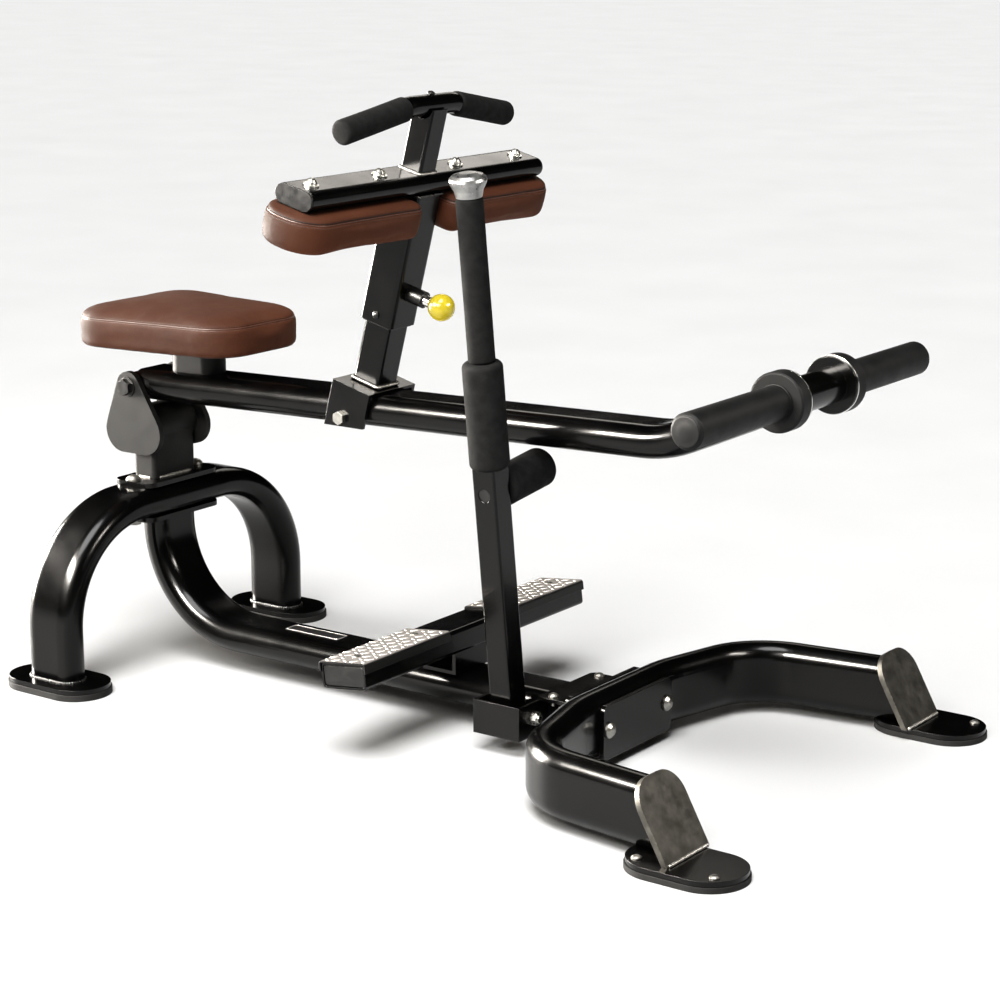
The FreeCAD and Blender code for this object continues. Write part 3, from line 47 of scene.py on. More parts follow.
# ------------------------------------------------------------------ materials
class Graph:
    def __init__(self, name):
        self.m = bpy.data.materials.new(name)
        self.m.use_nodes = True
        self.t = self.m.node_tree
        self.b = self.t.nodes["Principled BSDF"]
        self.co = self.add("ShaderNodeTexCoord").outputs["Object"]

    def add(self, kind, **kw):
        n = self.t.nodes.new(kind)
        for k, v in kw.items():
            setattr(n, k, v)
        return n

    def link(self, a, b):
        self.t.links.new(a, b)

    def noise(self, scale, detail=4.0, rough=0.55, stretch=None):
        n = self.add("ShaderNodeTexNoise")
        n.inputs["Scale"].default_value = scale
        n.inputs["Detail"].default_value = detail
        n.inputs["Roughness"].default_value = rough
        src = self.co
        if stretch:
            mp = self.add("ShaderNodeMapping")
            mp.inputs["Scale"].default_value = stretch
            self.link(self.co, mp.inputs["Vector"])
            src = mp.outputs["Vector"]
        self.link(src, n.inputs["Vector"])
        return n.outputs["Fac"]

    def voronoi(self, scale, feature="F1"):
        n = self.add("ShaderNodeTexVoronoi", feature=feature)
        n.inputs["Scale"].default_value = scale
        self.link(self.co, n.inputs["Vector"])
        return n.outputs["Distance"]

    def ramp(self, fac, stops):
        n = self.add("ShaderNodeValToRGB")
        e = n.color_ramp.elements
        e[0].position, e[0].color = stops[0][0], (*stops[0][1], 1)
        e[1].position, e[1].color = stops[-1][0], (*stops[-1][1], 1)
        for p, c in stops[1:-1]:
            x = e.new(p)
            x.color = (*c, 1)
        self.link(fac, n.inputs["Fac"])
        return n.outputs["Color"]

    def remap(self, fac, lo, hi, a=0.3, b=0.7):
        n = self.add("ShaderNodeMapRange")
        n.inputs["From Min"].default_value = a
        n.inputs["From Max"].default_value = b
        n.inputs["To Min"].default_value = lo
        n.inputs["To Max"].default_value = hi
        self.link(fac, n.inputs["Value"])
        return n.outputs["Result"]

    def math(self, op, a, b=None):
        n = self.add("ShaderNodeMath", operation=op)
        for i, v in enumerate((a, b)):
            if v is None:
                continue
            if isinstance(v, (int, float)):
                n.inputs[i].default_value = v
            else:
                self.link(v, n.inputs[i])
        return n.outputs["Value"]

    def mix(self, fac, a, b):
        n = self.add("ShaderNodeMix", data_type="RGBA")
        self.link(fac, n.inputs["Factor"])
        self.link(a, n.inputs["A"])
        if isinstance(b, tuple):
            n.inputs["B"].default_value = (*b, 1)
        else:
            self.link(b, n.inputs["B"])
        return n.outputs["Result"]

    def bump(self, height, strength, distance, normal=None):
        n = self.add("ShaderNodeBump")
        n.inputs["Strength"].default_value = strength
        n.inputs["Distance"].default_value = distance
        self.link(height, n.inputs["Height"])
        if normal is not None:
            self.link(normal, n.inputs["Normal"])
        return n.outputs["Normal"]

    def set(self, **kw):
        names = {"metal": "Metallic", "rough": "Roughness", "coat": "Coat Weight", "coat_rough": "Coat Roughness", "spec": "Specular IOR Level", "sheen": "Sheen Weight", "sheen_rough": "Sheen Roughness"}
        for k, v in kw.items():
            self.b.inputs[names[k]].default_value = v

    def edge(self, radius):
        """1 on worn outside edges, 0 on flats."""
        bv = self.add("ShaderNodeBevel", samples=4)
        bv.inputs["Radius"].default_value = radius
        g = self.add("ShaderNodeNewGeometry")
        d = self.add("ShaderNodeVectorMath", operation="DOT_PRODUCT")
        self.link(bv.outputs["Normal"], d.inputs[0])
        self.link(g.outputs["Normal"], d.inputs[1])
        return bv.outputs["Normal"], self.remap(d.outputs["Value"], 1.0, 0.0, 0.80, 0.985)


def finish_mat(name, c1, c2, scale, rough, rscale, bumps, edge=None, wear=None, **kw):
    g = Graph(name)
    g.set(**kw)
    col = g.ramp(g.noise(scale, 5.0), [(0.3, c1), (0.7, c2)])
    normal = None
    r = g.remap(g.noise(rscale, 4.0), rough[0], rough[1])
    if edge:
        normal, mask = g.edge(edge)
        if wear:
            chipped = g.math("MULTIPLY", mask, g.remap(g.noise(220.0, 3.0), 0.0, wear[1], 0.48, 0.68))
            col = g.mix(chipped, col, wear[0])
    for kind, s, strength, dist in bumps:
        h = g.noise(s, 3.0) if kind == "n" else g.voronoi(s)
        normal = g.bump(h, strength, dist, normal)
    g.link(col, g.b.inputs["Base Color"])
    g.link(r, g.b.inputs["Roughness"])
    if normal is not None:
        g.link(normal, g.b.inputs["Normal"])
    return g.m


M = {}
M["frame_paint"] = finish_mat("frame_paint", (0.0022, 0.0022, 0.0023), (0.0038, 0.0036, 0.0034), 9.0, (0.17, 0.25), 14.0, [("n", 420.0, 0.10, 0.0004), ("n", 60.0, 0.05, 0.0010)], edge=0.0012, wear=((0.05, 0.048, 0.045), 0.5), spec=0.24, coat=0.10, coat_rough=0.07)
M["satin_paint"] = finish_mat("satin_paint", (0.0110, 0.0108, 0.0104), (0.0160, 0.0157, 0.0151), 16.0, (0.46, 0.58), 30.0, [("n", 900.0, 0.22, 0.0005), ("n", 80.0, 0.06, 0.0010)], edge=0.0012, wear=((0.06, 0.058, 0.054), 0.5), spec=0.20)
M["cap_paint"] = finish_mat("cap_paint", (0.062, 0.058, 0.050), (0.120, 0.114, 0.101), 55.0, (0.34, 0.50), 40.0, [("n", 700.0, 0.16, 0.0004)], edge=0.0012, wear=((0.42, 0.41, 0.39), 0.6), metal=0.65)
M["pad_board"] = finish_mat("pad_board", (0.0060, 0.0058, 0.0055), (0.0120, 0.0115, 0.0108), 30.0, (0.55, 0.72), 60.0, [("n", 500.0, 0.25, 0.0005)], spec=0.3)
M["grip_foam"] = finish_mat("grip_foam", (0.0100, 0.0102, 0.0106), (0.0190, 0.0192, 0.0196), 70.0, (0.80, 0.95), 60.0, [("v", 1100.0, 0.45, 0.0006), ("n", 240.0, 0.20, 0.0008)], spec=0.12)
M["horn_rubber"] = finish_mat("horn_rubber", (0.0095, 0.0097, 0.0101), (0.0150, 0.0152, 0.0156), 24.0, (0.46, 0.60), 30.0, [("n", 900.0, 0.22, 0.0004), ("n", 70.0, 0.08, 0.0010)], edge=0.0016, spec=0.18)
M["foot_rubber"] = finish_mat("foot_rubber", (0.0070, 0.0070, 0.0070), (0.0130, 0.0128, 0.0124), 60.0, (0.65, 0.82), 50.0, [("n", 900.0, 0.35, 0.0005)], edge=0.0012, spec=0.3)
M["knob_yellow"] = finish_mat("knob_yellow", (0.76, 0.60, 0.035), (0.86, 0.70, 0.050), 30.0, (0.20, 0.30), 60.0, [("n", 260.0, 0.05, 0.0004)], coat=0.4, coat_rough=0.08, spec=0.4)
M["barrel_black"] = finish_mat("barrel_black", (0.0055, 0.0055, 0.0055), (0.0100, 0.0098, 0.0095), 60.0, (0.30, 0.44), 80.0, [("n", 900.0, 0.16, 0.0004)], edge=0.0008, spec=0.4)
M["fastener_zinc"] = finish_mat("fastener_zinc", (0.56, 0.56, 0.53), (0.74, 0.73, 0.69), 120.0, (0.20, 0.36), 200.0, [("n", 1200.0, 0.10, 0.0003)], edge=0.0006, metal=1.0)
M["black_oxide"] = finish_mat("black_oxide", (0.020, 0.020, 0.020), (0.036, 0.035, 0.034), 90.0, (0.28, 0.42), 120.0, [("n", 900.0, 0.12, 0.0003)], edge=0.0006, metal=0.5)
M["dull_zinc"] = finish_mat("dull_zinc", (0.24, 0.24, 0.22), (0.36, 0.35, 0.33), 120.0, (0.26, 0.42), 200.0, [("n", 1200.0, 0.12, 0.0003)], edge=0.0006, metal=1.0)
M["cap_metal"] = finish_mat("cap_metal", (0.26, 0.26, 0.26), (0.38, 0.38, 0.37), 70.0, (0.24, 0.40), 90.0, [("n", 900.0, 0.12, 0.0003)], edge=0.0008, metal=0.8)
M["bright_steel"] = finish_mat("bright_steel", (0.60, 0.60, 0.59), (0.76, 0.76, 0.75), 90.0, (0.14, 0.28), 150.0, [("n", 1400.0, 0.08, 0.0003)], edge=0.0006, metal=1.0)
M["bush_bronze"] = finish_mat("bush_bronze", (0.34, 0.20, 0.08), (0.46, 0.29, 0.13), 120.0, (0.32, 0.46), 150.0, [("n", 1200.0, 0.12, 0.0003)], metal=1.0)
M["badge"] = finish_mat("badge", (0.0120, 0.0120, 0.0125), (0.0180, 0.0180, 0.0185), 60.0, (0.30, 0.42), 60.0, [("n", 700.0, 0.10, 0.0003)], edge=0.0008, wear=((0.20, 0.20, 0.20), 0.5), spec=0.5)
M["weld_bright"] = finish_mat("weld_bright", (0.14, 0.135, 0.125), (0.40, 0.39, 0.37), 190.0, (0.34, 0.54), 180.0, [("n", 700.0, 0.25, 0.0005)], metal=0.85)
M["weld_painted"] = finish_mat("weld_painted", (0.0090, 0.0088, 0.0085), (0.0190, 0.0185, 0.0175), 120.0, (0.22, 0.36), 150.0, [("n", 600.0, 0.20, 0.0005)], spec=0.5)
M["trim_silver"] = finish_mat("trim_silver", (0.55, 0.54, 0.52), (0.70, 0.69, 0.67), 140.0, (0.28, 0.40), 160.0, [("n", 900.0, 0.12, 0.0003)], metal=0.8)


def vinyl(name, seam_level=None):
    """Upholstery vinyl: pebbled grain, soft unevenness, and painted shade darkening the colour in the hollows of the
    grain.
    """
    g = Graph(name)
    g.set(spec=0.09)
    broad = g.ramp(g.noise(7.0, 4.0), [(0.30, (0.096, 0.0350, 0.0180)), (0.70, (0.128, 0.0475, 0.0250))])
    fine = g.noise(120.0, 4.0)
    cell = g.voronoi(620.0)
    col = g.mix(g.remap(fine, 0.0, 0.35, 0.45, 0.75), broad, (0.130, 0.050, 0.029))
    # painted shade: colour darkened towards the bottom of each pebble hollow of the grain
    col = g.mix(g.remap(cell, 0.55, 0.0, 0.02, 0.35), col, (0.052, 0.0180, 0.0105))
    r = g.remap(g.noise(40.0, 4.0), 0.60, 0.74)
    n1 = g.bump(g.noise(24.0, 3.0), 0.16, 0.0030)
    n2 = g.bump(cell, 0.26, 0.0005, n1)
    n3 = g.bump(g.noise(1500.0, 2.0), 0.12, 0.0003, n2)
    g.link(col, g.b.inputs["Base Color"])
    g.link(r, g.b.inputs["Roughness"])
    g.link(n3, g.b.inputs["Normal"])
    return g.m


M["pad_vinyl"] = vinyl("pad_vinyl")
M["seam_vinyl"] = finish_mat("seam_vinyl", (0.110, 0.044, 0.027), (0.160, 0.068, 0.043), 60.0, (0.34, 0.46), 60.0, [("v", 700.0, 0.2, 0.0004)], spec=0.45)
M["seam_dark"] = finish_mat("seam_dark", (0.016, 0.006, 0.0035), (0.030, 0.011, 0.0065), 90.0, (0.55, 0.70), 90.0, [("n", 900.0, 0.2, 0.0004)], spec=0.3)
M["thread"] = finish_mat("thread", (0.080, 0.032, 0.019), (0.115, 0.048, 0.030), 200.0, (0.5, 0.65), 200.0, [("n", 2500.0, 0.3, 0.0002)], spec=0.4)


def tread_mat():
    """Anti-slip aluminium on the top face; the folded skirts are coloured near-black, a painted shade on the faces
    turned away from the top.
    """
    g = Graph("tread_aluminium")
    g.set(metal=0.35)
    top = g.ramp(g.noise(45.0, 5.0), [(0.3, (0.33, 0.305, 0.285)), (0.7, (0.43, 0.40, 0.375))])
    n = g.add("ShaderNodeTexCoord").outputs["Normal"]
    d = g.add("ShaderNodeVectorMath", operation="DOT_PRODUCT")
    g.link(n, d.inputs[0])
    d.inputs[1].default_value = (-math.sin(math.radians(7)), 0, math.cos(math.radians(7)))
    skirt_painted_shade = g.remap(d.outputs["Value"], 1.0, 0.0, 0.55, 0.92)
    normal, mask = g.edge(0.0010)
    # painted shade: faces turned away from the top get near-black instead of aluminium
    col = g.mix(skirt_painted_shade, top, (0.006, 0.006, 0.006))
    g.link(col, g.b.inputs["Base Color"])
    g.link(g.remap(g.noise(300.0, 3.0, stretch=(1.0, 12.0, 1.0)), 0.36, 0.52), g.b.inputs["Roughness"])
    g.link(g.bump(g.noise(900.0, 3.0), 0.18, 0.0004, normal), g.b.inputs["Normal"])
    return g.m


M["tread_aluminium"] = tread_mat()
M["tread_lug"] = finish_mat("tread_lug", (0.55, 0.52, 0.49), (0.70, 0.67, 0.63), 90.0, (0.26, 0.40), 120.0, [("n", 900.0, 0.12, 0.0003)], metal=0.45)

SLOT = {"frame_paint": "rear_arch rear_foot_plates spine_tube clamp_plates front_frame front_foot_plates front_gusset footrest_beam footrest_bracket safety_box_walls lever_tube horn_bar saddle_bracket inner_post outer_sleeve upper_post cross_tube handle_bar safety_post", "satin_paint": "column cheek_left cheek_right seat_post", "cap_paint": "arm_caps", "pad_board": "seat_board knee_boards", "horn_rubber": "weight_sleeve_left weight_sleeve_right horn_collars", "foot_rubber": "rear_foot_rubbers front_foot_rubbers", "knob_yellow": "ball_knob", "barrel_black": "plunger_barrel cross_tube_caps sleeve_liners", "fastener_zinc": "knee_pad_bolts safety_fasteners", "dull_zinc": "base_screws frame_bolts saddle_fasteners seat_screws tread_screws", "black_oxide": "pivot_fasteners carriage_screws safety_peg", "bright_steel": "horn_washers plunger_pin", "cap_metal": "safety_cap", "bush_bronze": "pivot_bushes safety_bush", "tread_aluminium": "tread_plates", "badge": "spine_plate", "pad_vinyl": "seat_pad knee_pad_left knee_pad_right", "grip_foam": "hand_grips safety_grip safety_bumper peg_foam"}
for s, names in SLOT.items():
    for n in names.split():
        o = NODES[n]
        if not o.material_slots:
            o.data.materials.append(M[s])
        for sl in o.material_slots:
            sl.material = M[s]


# ------------------------------------------------------------------ helpers
def link(o):
    scene.collection.objects.link(o)
    return o


def mesh_obj(name, verts, faces, mat, smooth=True, matrix=None):
    me = bpy.data.meshes.new(name)
    me.from_pydata([tuple(v) for v in verts], [], faces)
    me.update()
    bm = bmesh.new()
    bm.from_mesh(me)
    bmesh.ops.recalc_face_normals(bm, faces=bm.faces)
    bm.to_mesh(me)
    bm.free()
    for p in me.polygons:
        p.use_smooth = smooth
    me.materials.append(mat)
    o = link(bpy.data.objects.new(name, me))
    if matrix is not None:
        o.matrix_world = matrix
    return o


def basis(origin, x, y, z):
    return Matrix(((x[0], y[0], z[0], origin[0]), (x[1], y[1], z[1], origin[1]), (x[2], y[2], z[2], origin[2]), (0, 0, 0, 1)))


def axis_frame(origin, axis):
    z = Vector(axis).normalized()
    a = Vector((0, 0, 1)) if abs(z.z) < 0.9 else Vector((1, 0, 0))
    x = a.cross(z).normalized()
    return basis(Vector(origin), x, z.cross(x), z)


def lathe(name, origin, axis, prof, mat, seg=56, ripple=0.0, seed=0.0):
    """Turned piece: prof is (distance along axis, radius), closed on the axis at both ends."""
    vs, fs = [], []
    for t, r in prof:
        for k in range(seg):
            a = 2 * math.pi * k / seg
            rr = r * (1 + ripple * noise.noise(Vector((math.cos(a) * 1.5 + seed, math.sin(a) * 1.5, t * 22)))) if r > 1e-6 else 0.0
            vs.append((rr * math.cos(a), rr * math.sin(a), t))
    n = len(prof)
    for i in range(n - 1):
        for k in range(seg):
            k2 = (k + 1) % seg
            fs.append((i * seg + k, i * seg + k2, (i + 1) * seg + k2, (i + 1) * seg + k))
    me = bpy.data.meshes.new(name)
    me.from_pydata(vs, [], fs)
    bm = bmesh.new()
    bm.from_mesh(me)
    bmesh.ops.remove_doubles(bm, verts=bm.verts, dist=1e-6)
    bmesh.ops.recalc_face_normals(bm, faces=bm.faces)
    bm.to_mesh(me)
    bm.free()
    for p in me.polygons:
        p.use_smooth = True
    me.materials.append(mat)
    o = link(bpy.data.objects.new(name, me))
    o.matrix_world = axis_frame(origin, axis)
    return o


def foam_profile(length, r, edge, inner=0.0, steps=5, rows=18):
    """Foam sleeve: soft rounded ends and a faintly waisted run between them."""
    p = [(0.0, inner)]
    for i in range(steps + 1):
        a = math.pi / 2 * i / steps
        p.append((edge * (1 - math.sin(a)) if False else edge - edge * math.cos(a), r - edge + edge * math.sin(a)))
    for i in range(1, rows):
        t = edge + (length - 2 * edge) * i / rows
        p.append((t, r * (1 - 0.008 * math.sin(math.pi * i / rows))))
    for i in range(steps + 1):
        a = math.pi / 2 * (1 - i / steps)
        p.append((length - edge + edge * math.cos(a), r - edge + edge * math.sin(a)))
    p.append((length, inner))
    return p


def tube_along(name, pts, r, mat, closed=True, seg=8, lump=0.0, pitch=0.004, flat=1.0, matrix=None):
    """Bead along a line of points. lump makes the ripples of a weld."""
    P = [Vector(p) for p in pts]
    L = [0.0]
    m = len(P)
    for i in range(1, m + (1 if closed else 0)):
        L.append(L[-1] + (P[i % m] - P[i - 1]).length)
    total = L[-1]
    n = max(12, int(total / (pitch / 4 if lump else max(r, 0.0012))))
    res = []
    j = 0
    for i in range(n + (0 if closed else 1)):
        s = total * i / n
        while j < len(L) - 2 and L[j + 1] < s:
            j += 1
        d = L[j + 1] - L[j]
        f = (s - L[j]) / d if d > 1e-9 else 0
        res.append(P[j % m].lerp(P[(j + 1) % m], f))
    vs, fs = [], []
    q = len(res)
    for i in range(q):
        a = res[(i - 1) % q] if closed or i > 0 else res[i]
        b = res[(i + 1) % q] if closed or i < q - 1 else res[i]
        t = (b - a).normalized()
        up = Vector((0, 0, 1)) if abs(t.z) < 0.8 else Vector((0, 1, 0))
        u = up.cross(t).normalized()
        w = t.cross(u)
        s = total * i / n
        rr = r * (1 - lump * 0.5 * (1 + math.cos(2 * math.pi * s / pitch))) * (1 + (0.18 * noise.noise(res[i] * 160) if lump else 0))
        for k in range(seg):
            c = 2 * math.pi * k / seg
            vs.append(res[i] + u * rr * math.cos(c) + w * rr * flat * math.sin(c))
    for i in range(q if closed else q - 1):
        i2 = (i + 1) % q
        for k in range(seg):
            k2 = (k + 1) % seg
            fs.append((i * seg + k, i * seg + k2, i2 * seg + k2, i2 * seg + k))
    if not closed:
        fs.append(tuple(range(seg)))
        fs.append(tuple((q - 1) * seg + k for k in range(seg)))
    return mesh_obj(name, vs, fs, mat, matrix=matrix)


def rring(mat4, hx, hy, rc, step=6):
    """Rounded-rectangle ring in the XY plane of a frame."""
    out = []
    for cx, cy, a0 in ((hx - rc, hy - rc, 0), (-hx + rc, hy - rc, 90), (-hx + rc, -hy + rc, 180), (hx - rc, -hy + rc, 270)):
        for i in range(step + 1):
            a = math.radians(a0 + 90 * i / step)
            out.append(mat4 @ Vector((cx + rc * math.cos(a), cy + rc * math.sin(a), 0)))
    return out


def rounded_poly(corners, radii, seg=10, edge_step=0.008):
    """Points round a polygon with rounded corners, evenly dense."""
    n = len(corners)
    C = [Vector(c) for c in corners]
    raw = []
    for i in range(n):
        p, a, b = C[i], C[i - 1], C[(i + 1) % n]
        da, db = (a - p).normalized(), (b - p).normalized()
        ang = da.angle(db)
        d = radii[i] / math.tan(ang / 2)
        bis = (da + db).normalized()
        cen = p + bis * (radii[i] / math.sin(ang / 2))
        s, e = p + da * d - cen, p + db * d - cen
        tot = s.angle_signed(e)
        for k in range(seg + 1):
            t = -tot * k / seg
            raw.append(cen + Vector((s.x * math.cos(t) - s.y * math.sin(t), s.x * math.sin(t) + s.y * math.cos(t))))
    out = []
    for i, p in enumerate(raw):
        q = raw[(i + 1) % len(raw)]
        m = max(1, int((q - p).length / edge_step))
        for k in range(m):
            out.append(p.lerp(q, k / m))
    return out


def inset(outline, d):
    """Outline moved inwards by d along its normals."""
    n = len(outline)
    res = []
    for i in range(n):
        t = (outline[(i + 1) % n] - outline[i - 1]).normalized()
        res.append(outline[i] + Vector((-t.y, t.x)) * d)
    return res


def ccw(pts):
    s = sum(pts[i - 1].x * pts[i].y - pts[i].x * pts[i - 1].y for i in range(len(pts)))
    return pts if s > 0 else pts[::-1]


def pad_mesh(name, outline, levels, mat, matrix=None, crown_top=0.0, crown_low=0.0):
    """Closed cushion: rings at (height, inset), closed by shrinking rings on both faces."""
    outline = ccw(outline)
    n = len(outline)
    cen = sum(outline, Vector((0, 0))) / n
    rings = []
    zl, il = levels[0]
    zt, it = levels[-1]
    for f in (0.12, 0.35, 0.6, 0.82):
        rings.append([(cen.lerp(p, f), zl - crown_low * (1 - f * f)) for p in inset(outline, il)])
    for z, i in levels:
        rings.append([(p, z) for p in inset(outline, i)])
    for f in (0.88, 0.72, 0.5, 0.3, 0.12):
        rings.append([(cen.lerp(p, f), zt + crown_top * (1 - f * f)) for p in inset(outline, it)])
    vs, fs = [], []
    for r in rings:
        vs += [(p.x, p.y, z) for p, z in r]
    for i in range(len(rings) - 1):
        for k in range(n):
            k2 = (k + 1) % n
            fs.append((i * n + k, i * n + k2, (i + 1) * n + k2, (i + 1) * n + k))
    vs.append((cen.x, cen.y, zl - crown_low))
    vs.append((cen.x, cen.y, zt + crown_top))
    a, b = len(vs) - 2, len(vs) - 1
    last = (len(rings) - 1) * n
    for k in range(n):
        k2 = (k + 1) % n
        fs.append((k2, k, a))
        fs.append((last + k, last + k2, b))
    return mesh_obj(name, vs, fs, mat, matrix=matrix), outline


def inflate(o, cap, voxel=0.005, pressure=4.0, keep=None):
    """Voxel remesh, inflate with the cloth solver, cap each point's travel, apply, subdivide once. keep(co) scales the travel."""
    bpy.ops.object.select_all(action="DESELECT")
    o.select_set(True)
    bpy.context.view_layer.objects.active = o
    rm = o.modifiers.new("remesh", "REMESH")
    rm.mode = "VOXEL"
    rm.voxel_size = voxel
    rm.use_smooth_shade = True
    bpy.ops.object.modifier_apply(modifier="remesh")
    rest = [v.co.copy() for v in o.data.vertices]
    cl = o.modifiers.new("cloth", "CLOTH")
    st = cl.settings
    st.quality = 6
    st.mass = 0.3
    st.tension_stiffness = 25
    st.compression_stiffness = 25
    st.shear_stiffness = 12
    st.bending_stiffness = 1.5
    st.use_pressure = True
    st.uniform_pressure_force = pressure
    st.effector_weights.gravity = 0
    cl.collision_settings.use_collision = False
    cl.point_cache.frame_start = 1
    cl.point_cache.frame_end = 20
    for f in range(1, 21):
        scene.frame_set(f)
    dg = bpy.context.evaluated_depsgraph_get()
    ev = o.evaluated_get(dg).data
    moved = [v.co.copy() for v in ev.vertices]
    o.modifiers.remove(cl)
    scene.frame_set(1)
    for v, a, b in zip(o.data.vertices, rest, moved):
        d = b - a
        lim = cap * (keep(a) if keep else 1.0)
        if d.length > lim:
            d = d.normalized() * lim
        v.co = a + d
    # even out the voxel steps
    bm = bmesh.new()
    bm.from_mesh(o.data)
    for _ in range(3):
        bmesh.ops.smooth_vert(bm, verts=bm.verts, factor=0.5, use_axis_x=True, use_axis_y=True, use_axis_z=True)
    bm.to_mesh(o.data)
    bm.free()
    sd = o.modifiers.new("sub", "SUBSURF")
    sd.levels = sd.render_levels = 1
    bpy.ops.object.modifier_apply(modifier="sub")
    for p in o.data.polygons:
        p.use_smooth = True
    return o


def hug(o, outline, z, lift=0.0):
    """Line of points lying on the pad's surface at height z, all round, in the pad's own frame."""
    bm = bmesh.new()
    bm.from_mesh(o.data)
    tree = BVHTree.FromBMesh(bm)
    n = len(outline)
    res = []
    for i in range(n):
        t = (outline[(i + 1) % n] - outline[i - 1]).normalized()
        nrm = Vector((t.y, -t.x))
        st = outline[i] + nrm * 0.04
        hit, nn, _, _ = tree.ray_cast(Vector((st.x, st.y, z)), Vector((-nrm.x, -nrm.y, 0)))
        if hit is not None:
            res.append(hit + nn * lift)
    bm.free()
    return res


def pinch(o, outline, z, depth, width):
    """Draws the cover in along the seam at height z."""
    for v in o.data.vertices:
        d = abs(v.co.z - z)
        if d < width:
            w = (0.5 + 0.5 * math.cos(math.pi * d / width))
            c = Vector((v.co.x, v.co.y))
            best = min(range(len(outline)), key=lambda i: (outline[i] - c).length_squared)
            t = (outline[(best + 1) % len(outline)] - outline[best - 1]).normalized()
            nrm = Vector((t.y, -t.x))
            if (outline[best] - c).length < 0.012:
                v.co.x -= nrm.x * depth * w
                v.co.y -= nrm.y * depth * w


def stitches(name, line, r, length, gap, mat, matrix):
    """Thread stitches laid end to end along a line."""
    P = [Vector(p) for p in line]
    m = len(P)
    L = [0.0]
    for i in range(1, m + 1):
        L.append(L[-1] + (P[i % m] - P[i - 1]).length)
    total = L[-1]
    n = int(total / (length + gap))

    def at(s):
        s %= total
        lo, hi = 0, m
        while hi - lo > 1:
            mid = (lo + hi) // 2
            if L[mid] <= s:
                lo = mid
            else:
                hi = mid
        d = L[lo + 1] - L[lo]
        return P[lo % m].lerp(P[(lo + 1) % m], (s - L[lo]) / d if d > 1e-9 else 0)

    vs, fs = [], []
    for i in range(n):
        s0 = total * i / n
        base = len(vs)
        for j in range(5):
            f = j / 4
            p = at(s0 + length * f)
            t = (at(s0 + length * f + 0.0004) - p).normalized()
            u = Vector((0, 0, 1)).cross(t).normalized()
            rr = r * (0.25 + 0.75 * math.sin(math.pi * (0.08 + 0.84 * f)))
            for k in range(6):
                c = math.pi * 2 * k / 6
                vs.append(p + u * rr * math.cos(c) + Vector((0, 0, 1)) * rr * math.sin(c))
        for j in range(4):
            for k in range(6):
                k2 = (k + 1) % 6
                fs.append((base + j * 6 + k, base + j * 6 + k2, base + (j + 1) * 6 + k2, base + (j + 1) * 6 + k))
        fs.append(tuple(base + k for k in range(6)))
        fs.append(tuple(base + 24 + k for k in range(6)))
    return mesh_obj(name, vs, fs, mat, matrix=matrix)


def go(o, body):
    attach(o, body)
    return o


# ------------------------------------------------------------------ the part's own frames
A147 = math.radians(14.7)
PX = Vector((math.cos(A147), 0, -math.sin(A147)))
PZ = Vector((math.sin(A147), 0, math.cos(A147)))
PO = Vector((-0.1724, 0, 0.495))
YY = Vector((0, 1, 0))


def ps(p, y, s):
    return PO + PX * (p / 1000) + YY * (y / 1000) + PZ * (s / 1000)


S71 = math.radians(7.1)


def sf(x, y, z):
    return Vector((0.153 + x / 1000, -0.088 + (y * math.cos(S71) - z * math.sin(S71)) / 1000, 0.056 + (y * math.sin(S71) + z * math.cos(S71)) / 1000))


# ------------------------------------------------------------------ seat pad
x0, x1 = -0.709, -0.379
seat_c = [(x0, -0.150), (x1, -0.108), (x1, 0.108), (x0, 0.150)]
seat_o = rounded_poly(seat_c, [0.066, 0.074, 0.074, 0.066], 14, 0.010)
SZ = 0.543
seat, seat_line = pad_mesh("seat_cushion", seat_o, [(SZ - 0.0080, 0.0120), (SZ - 0.0068, 0.0075), (SZ - 0.0035, 0.0045), (SZ + 0.004, 0.0030), (SZ + 0.014, 0.0022), (SZ + 0.026, 0.0018), (SZ + 0.036, 0.0024), (SZ + 0.042, 0.0046), (SZ + 0.0465, 0.0100), (SZ + 0.0500, 0.0200), (SZ + 0.0530, 0.0340)], M["pad_vinyl"], crown_top=0.0095)


def seat_keep(co):
    h = (co.z - SZ + 0.008) / 0.065
    return min(1.0, max(0.0, (h - 0.02) * 4))


inflate(seat, 0.0032, 0.005, 4.0, seat_keep)
pinch(seat, seat_line, SZ + 0.0395, 0.0016, 0.0045)
ln = hug(seat, seat_line, SZ + 0.0395, -0.0002)
seam = tube_along("seat_seam", ln, 0.0013, M["seam_vinyl"], seg=8)
sdk = tube_along("seat_seam_shadow", hug(seat, seat_line, SZ + 0.0372, -0.0003), 0.0006, M["seam_vinyl"], seg=6)
st = stitches("seat_stitching", hug(seat, seat_line, SZ + 0.0425, 0.0001), 0.00045, 0.0034, 0.0011, M["thread"], None)
low = tube_along("seat_hem", hug(seat, seat_line, SZ - 0.0058, -0.0004), 0.0011, M["seam_dark"], seg=6)
for o in (seat, seam, sdk, st, low):
    go(o, "lever")
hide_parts("seat_pad", "seat_board")

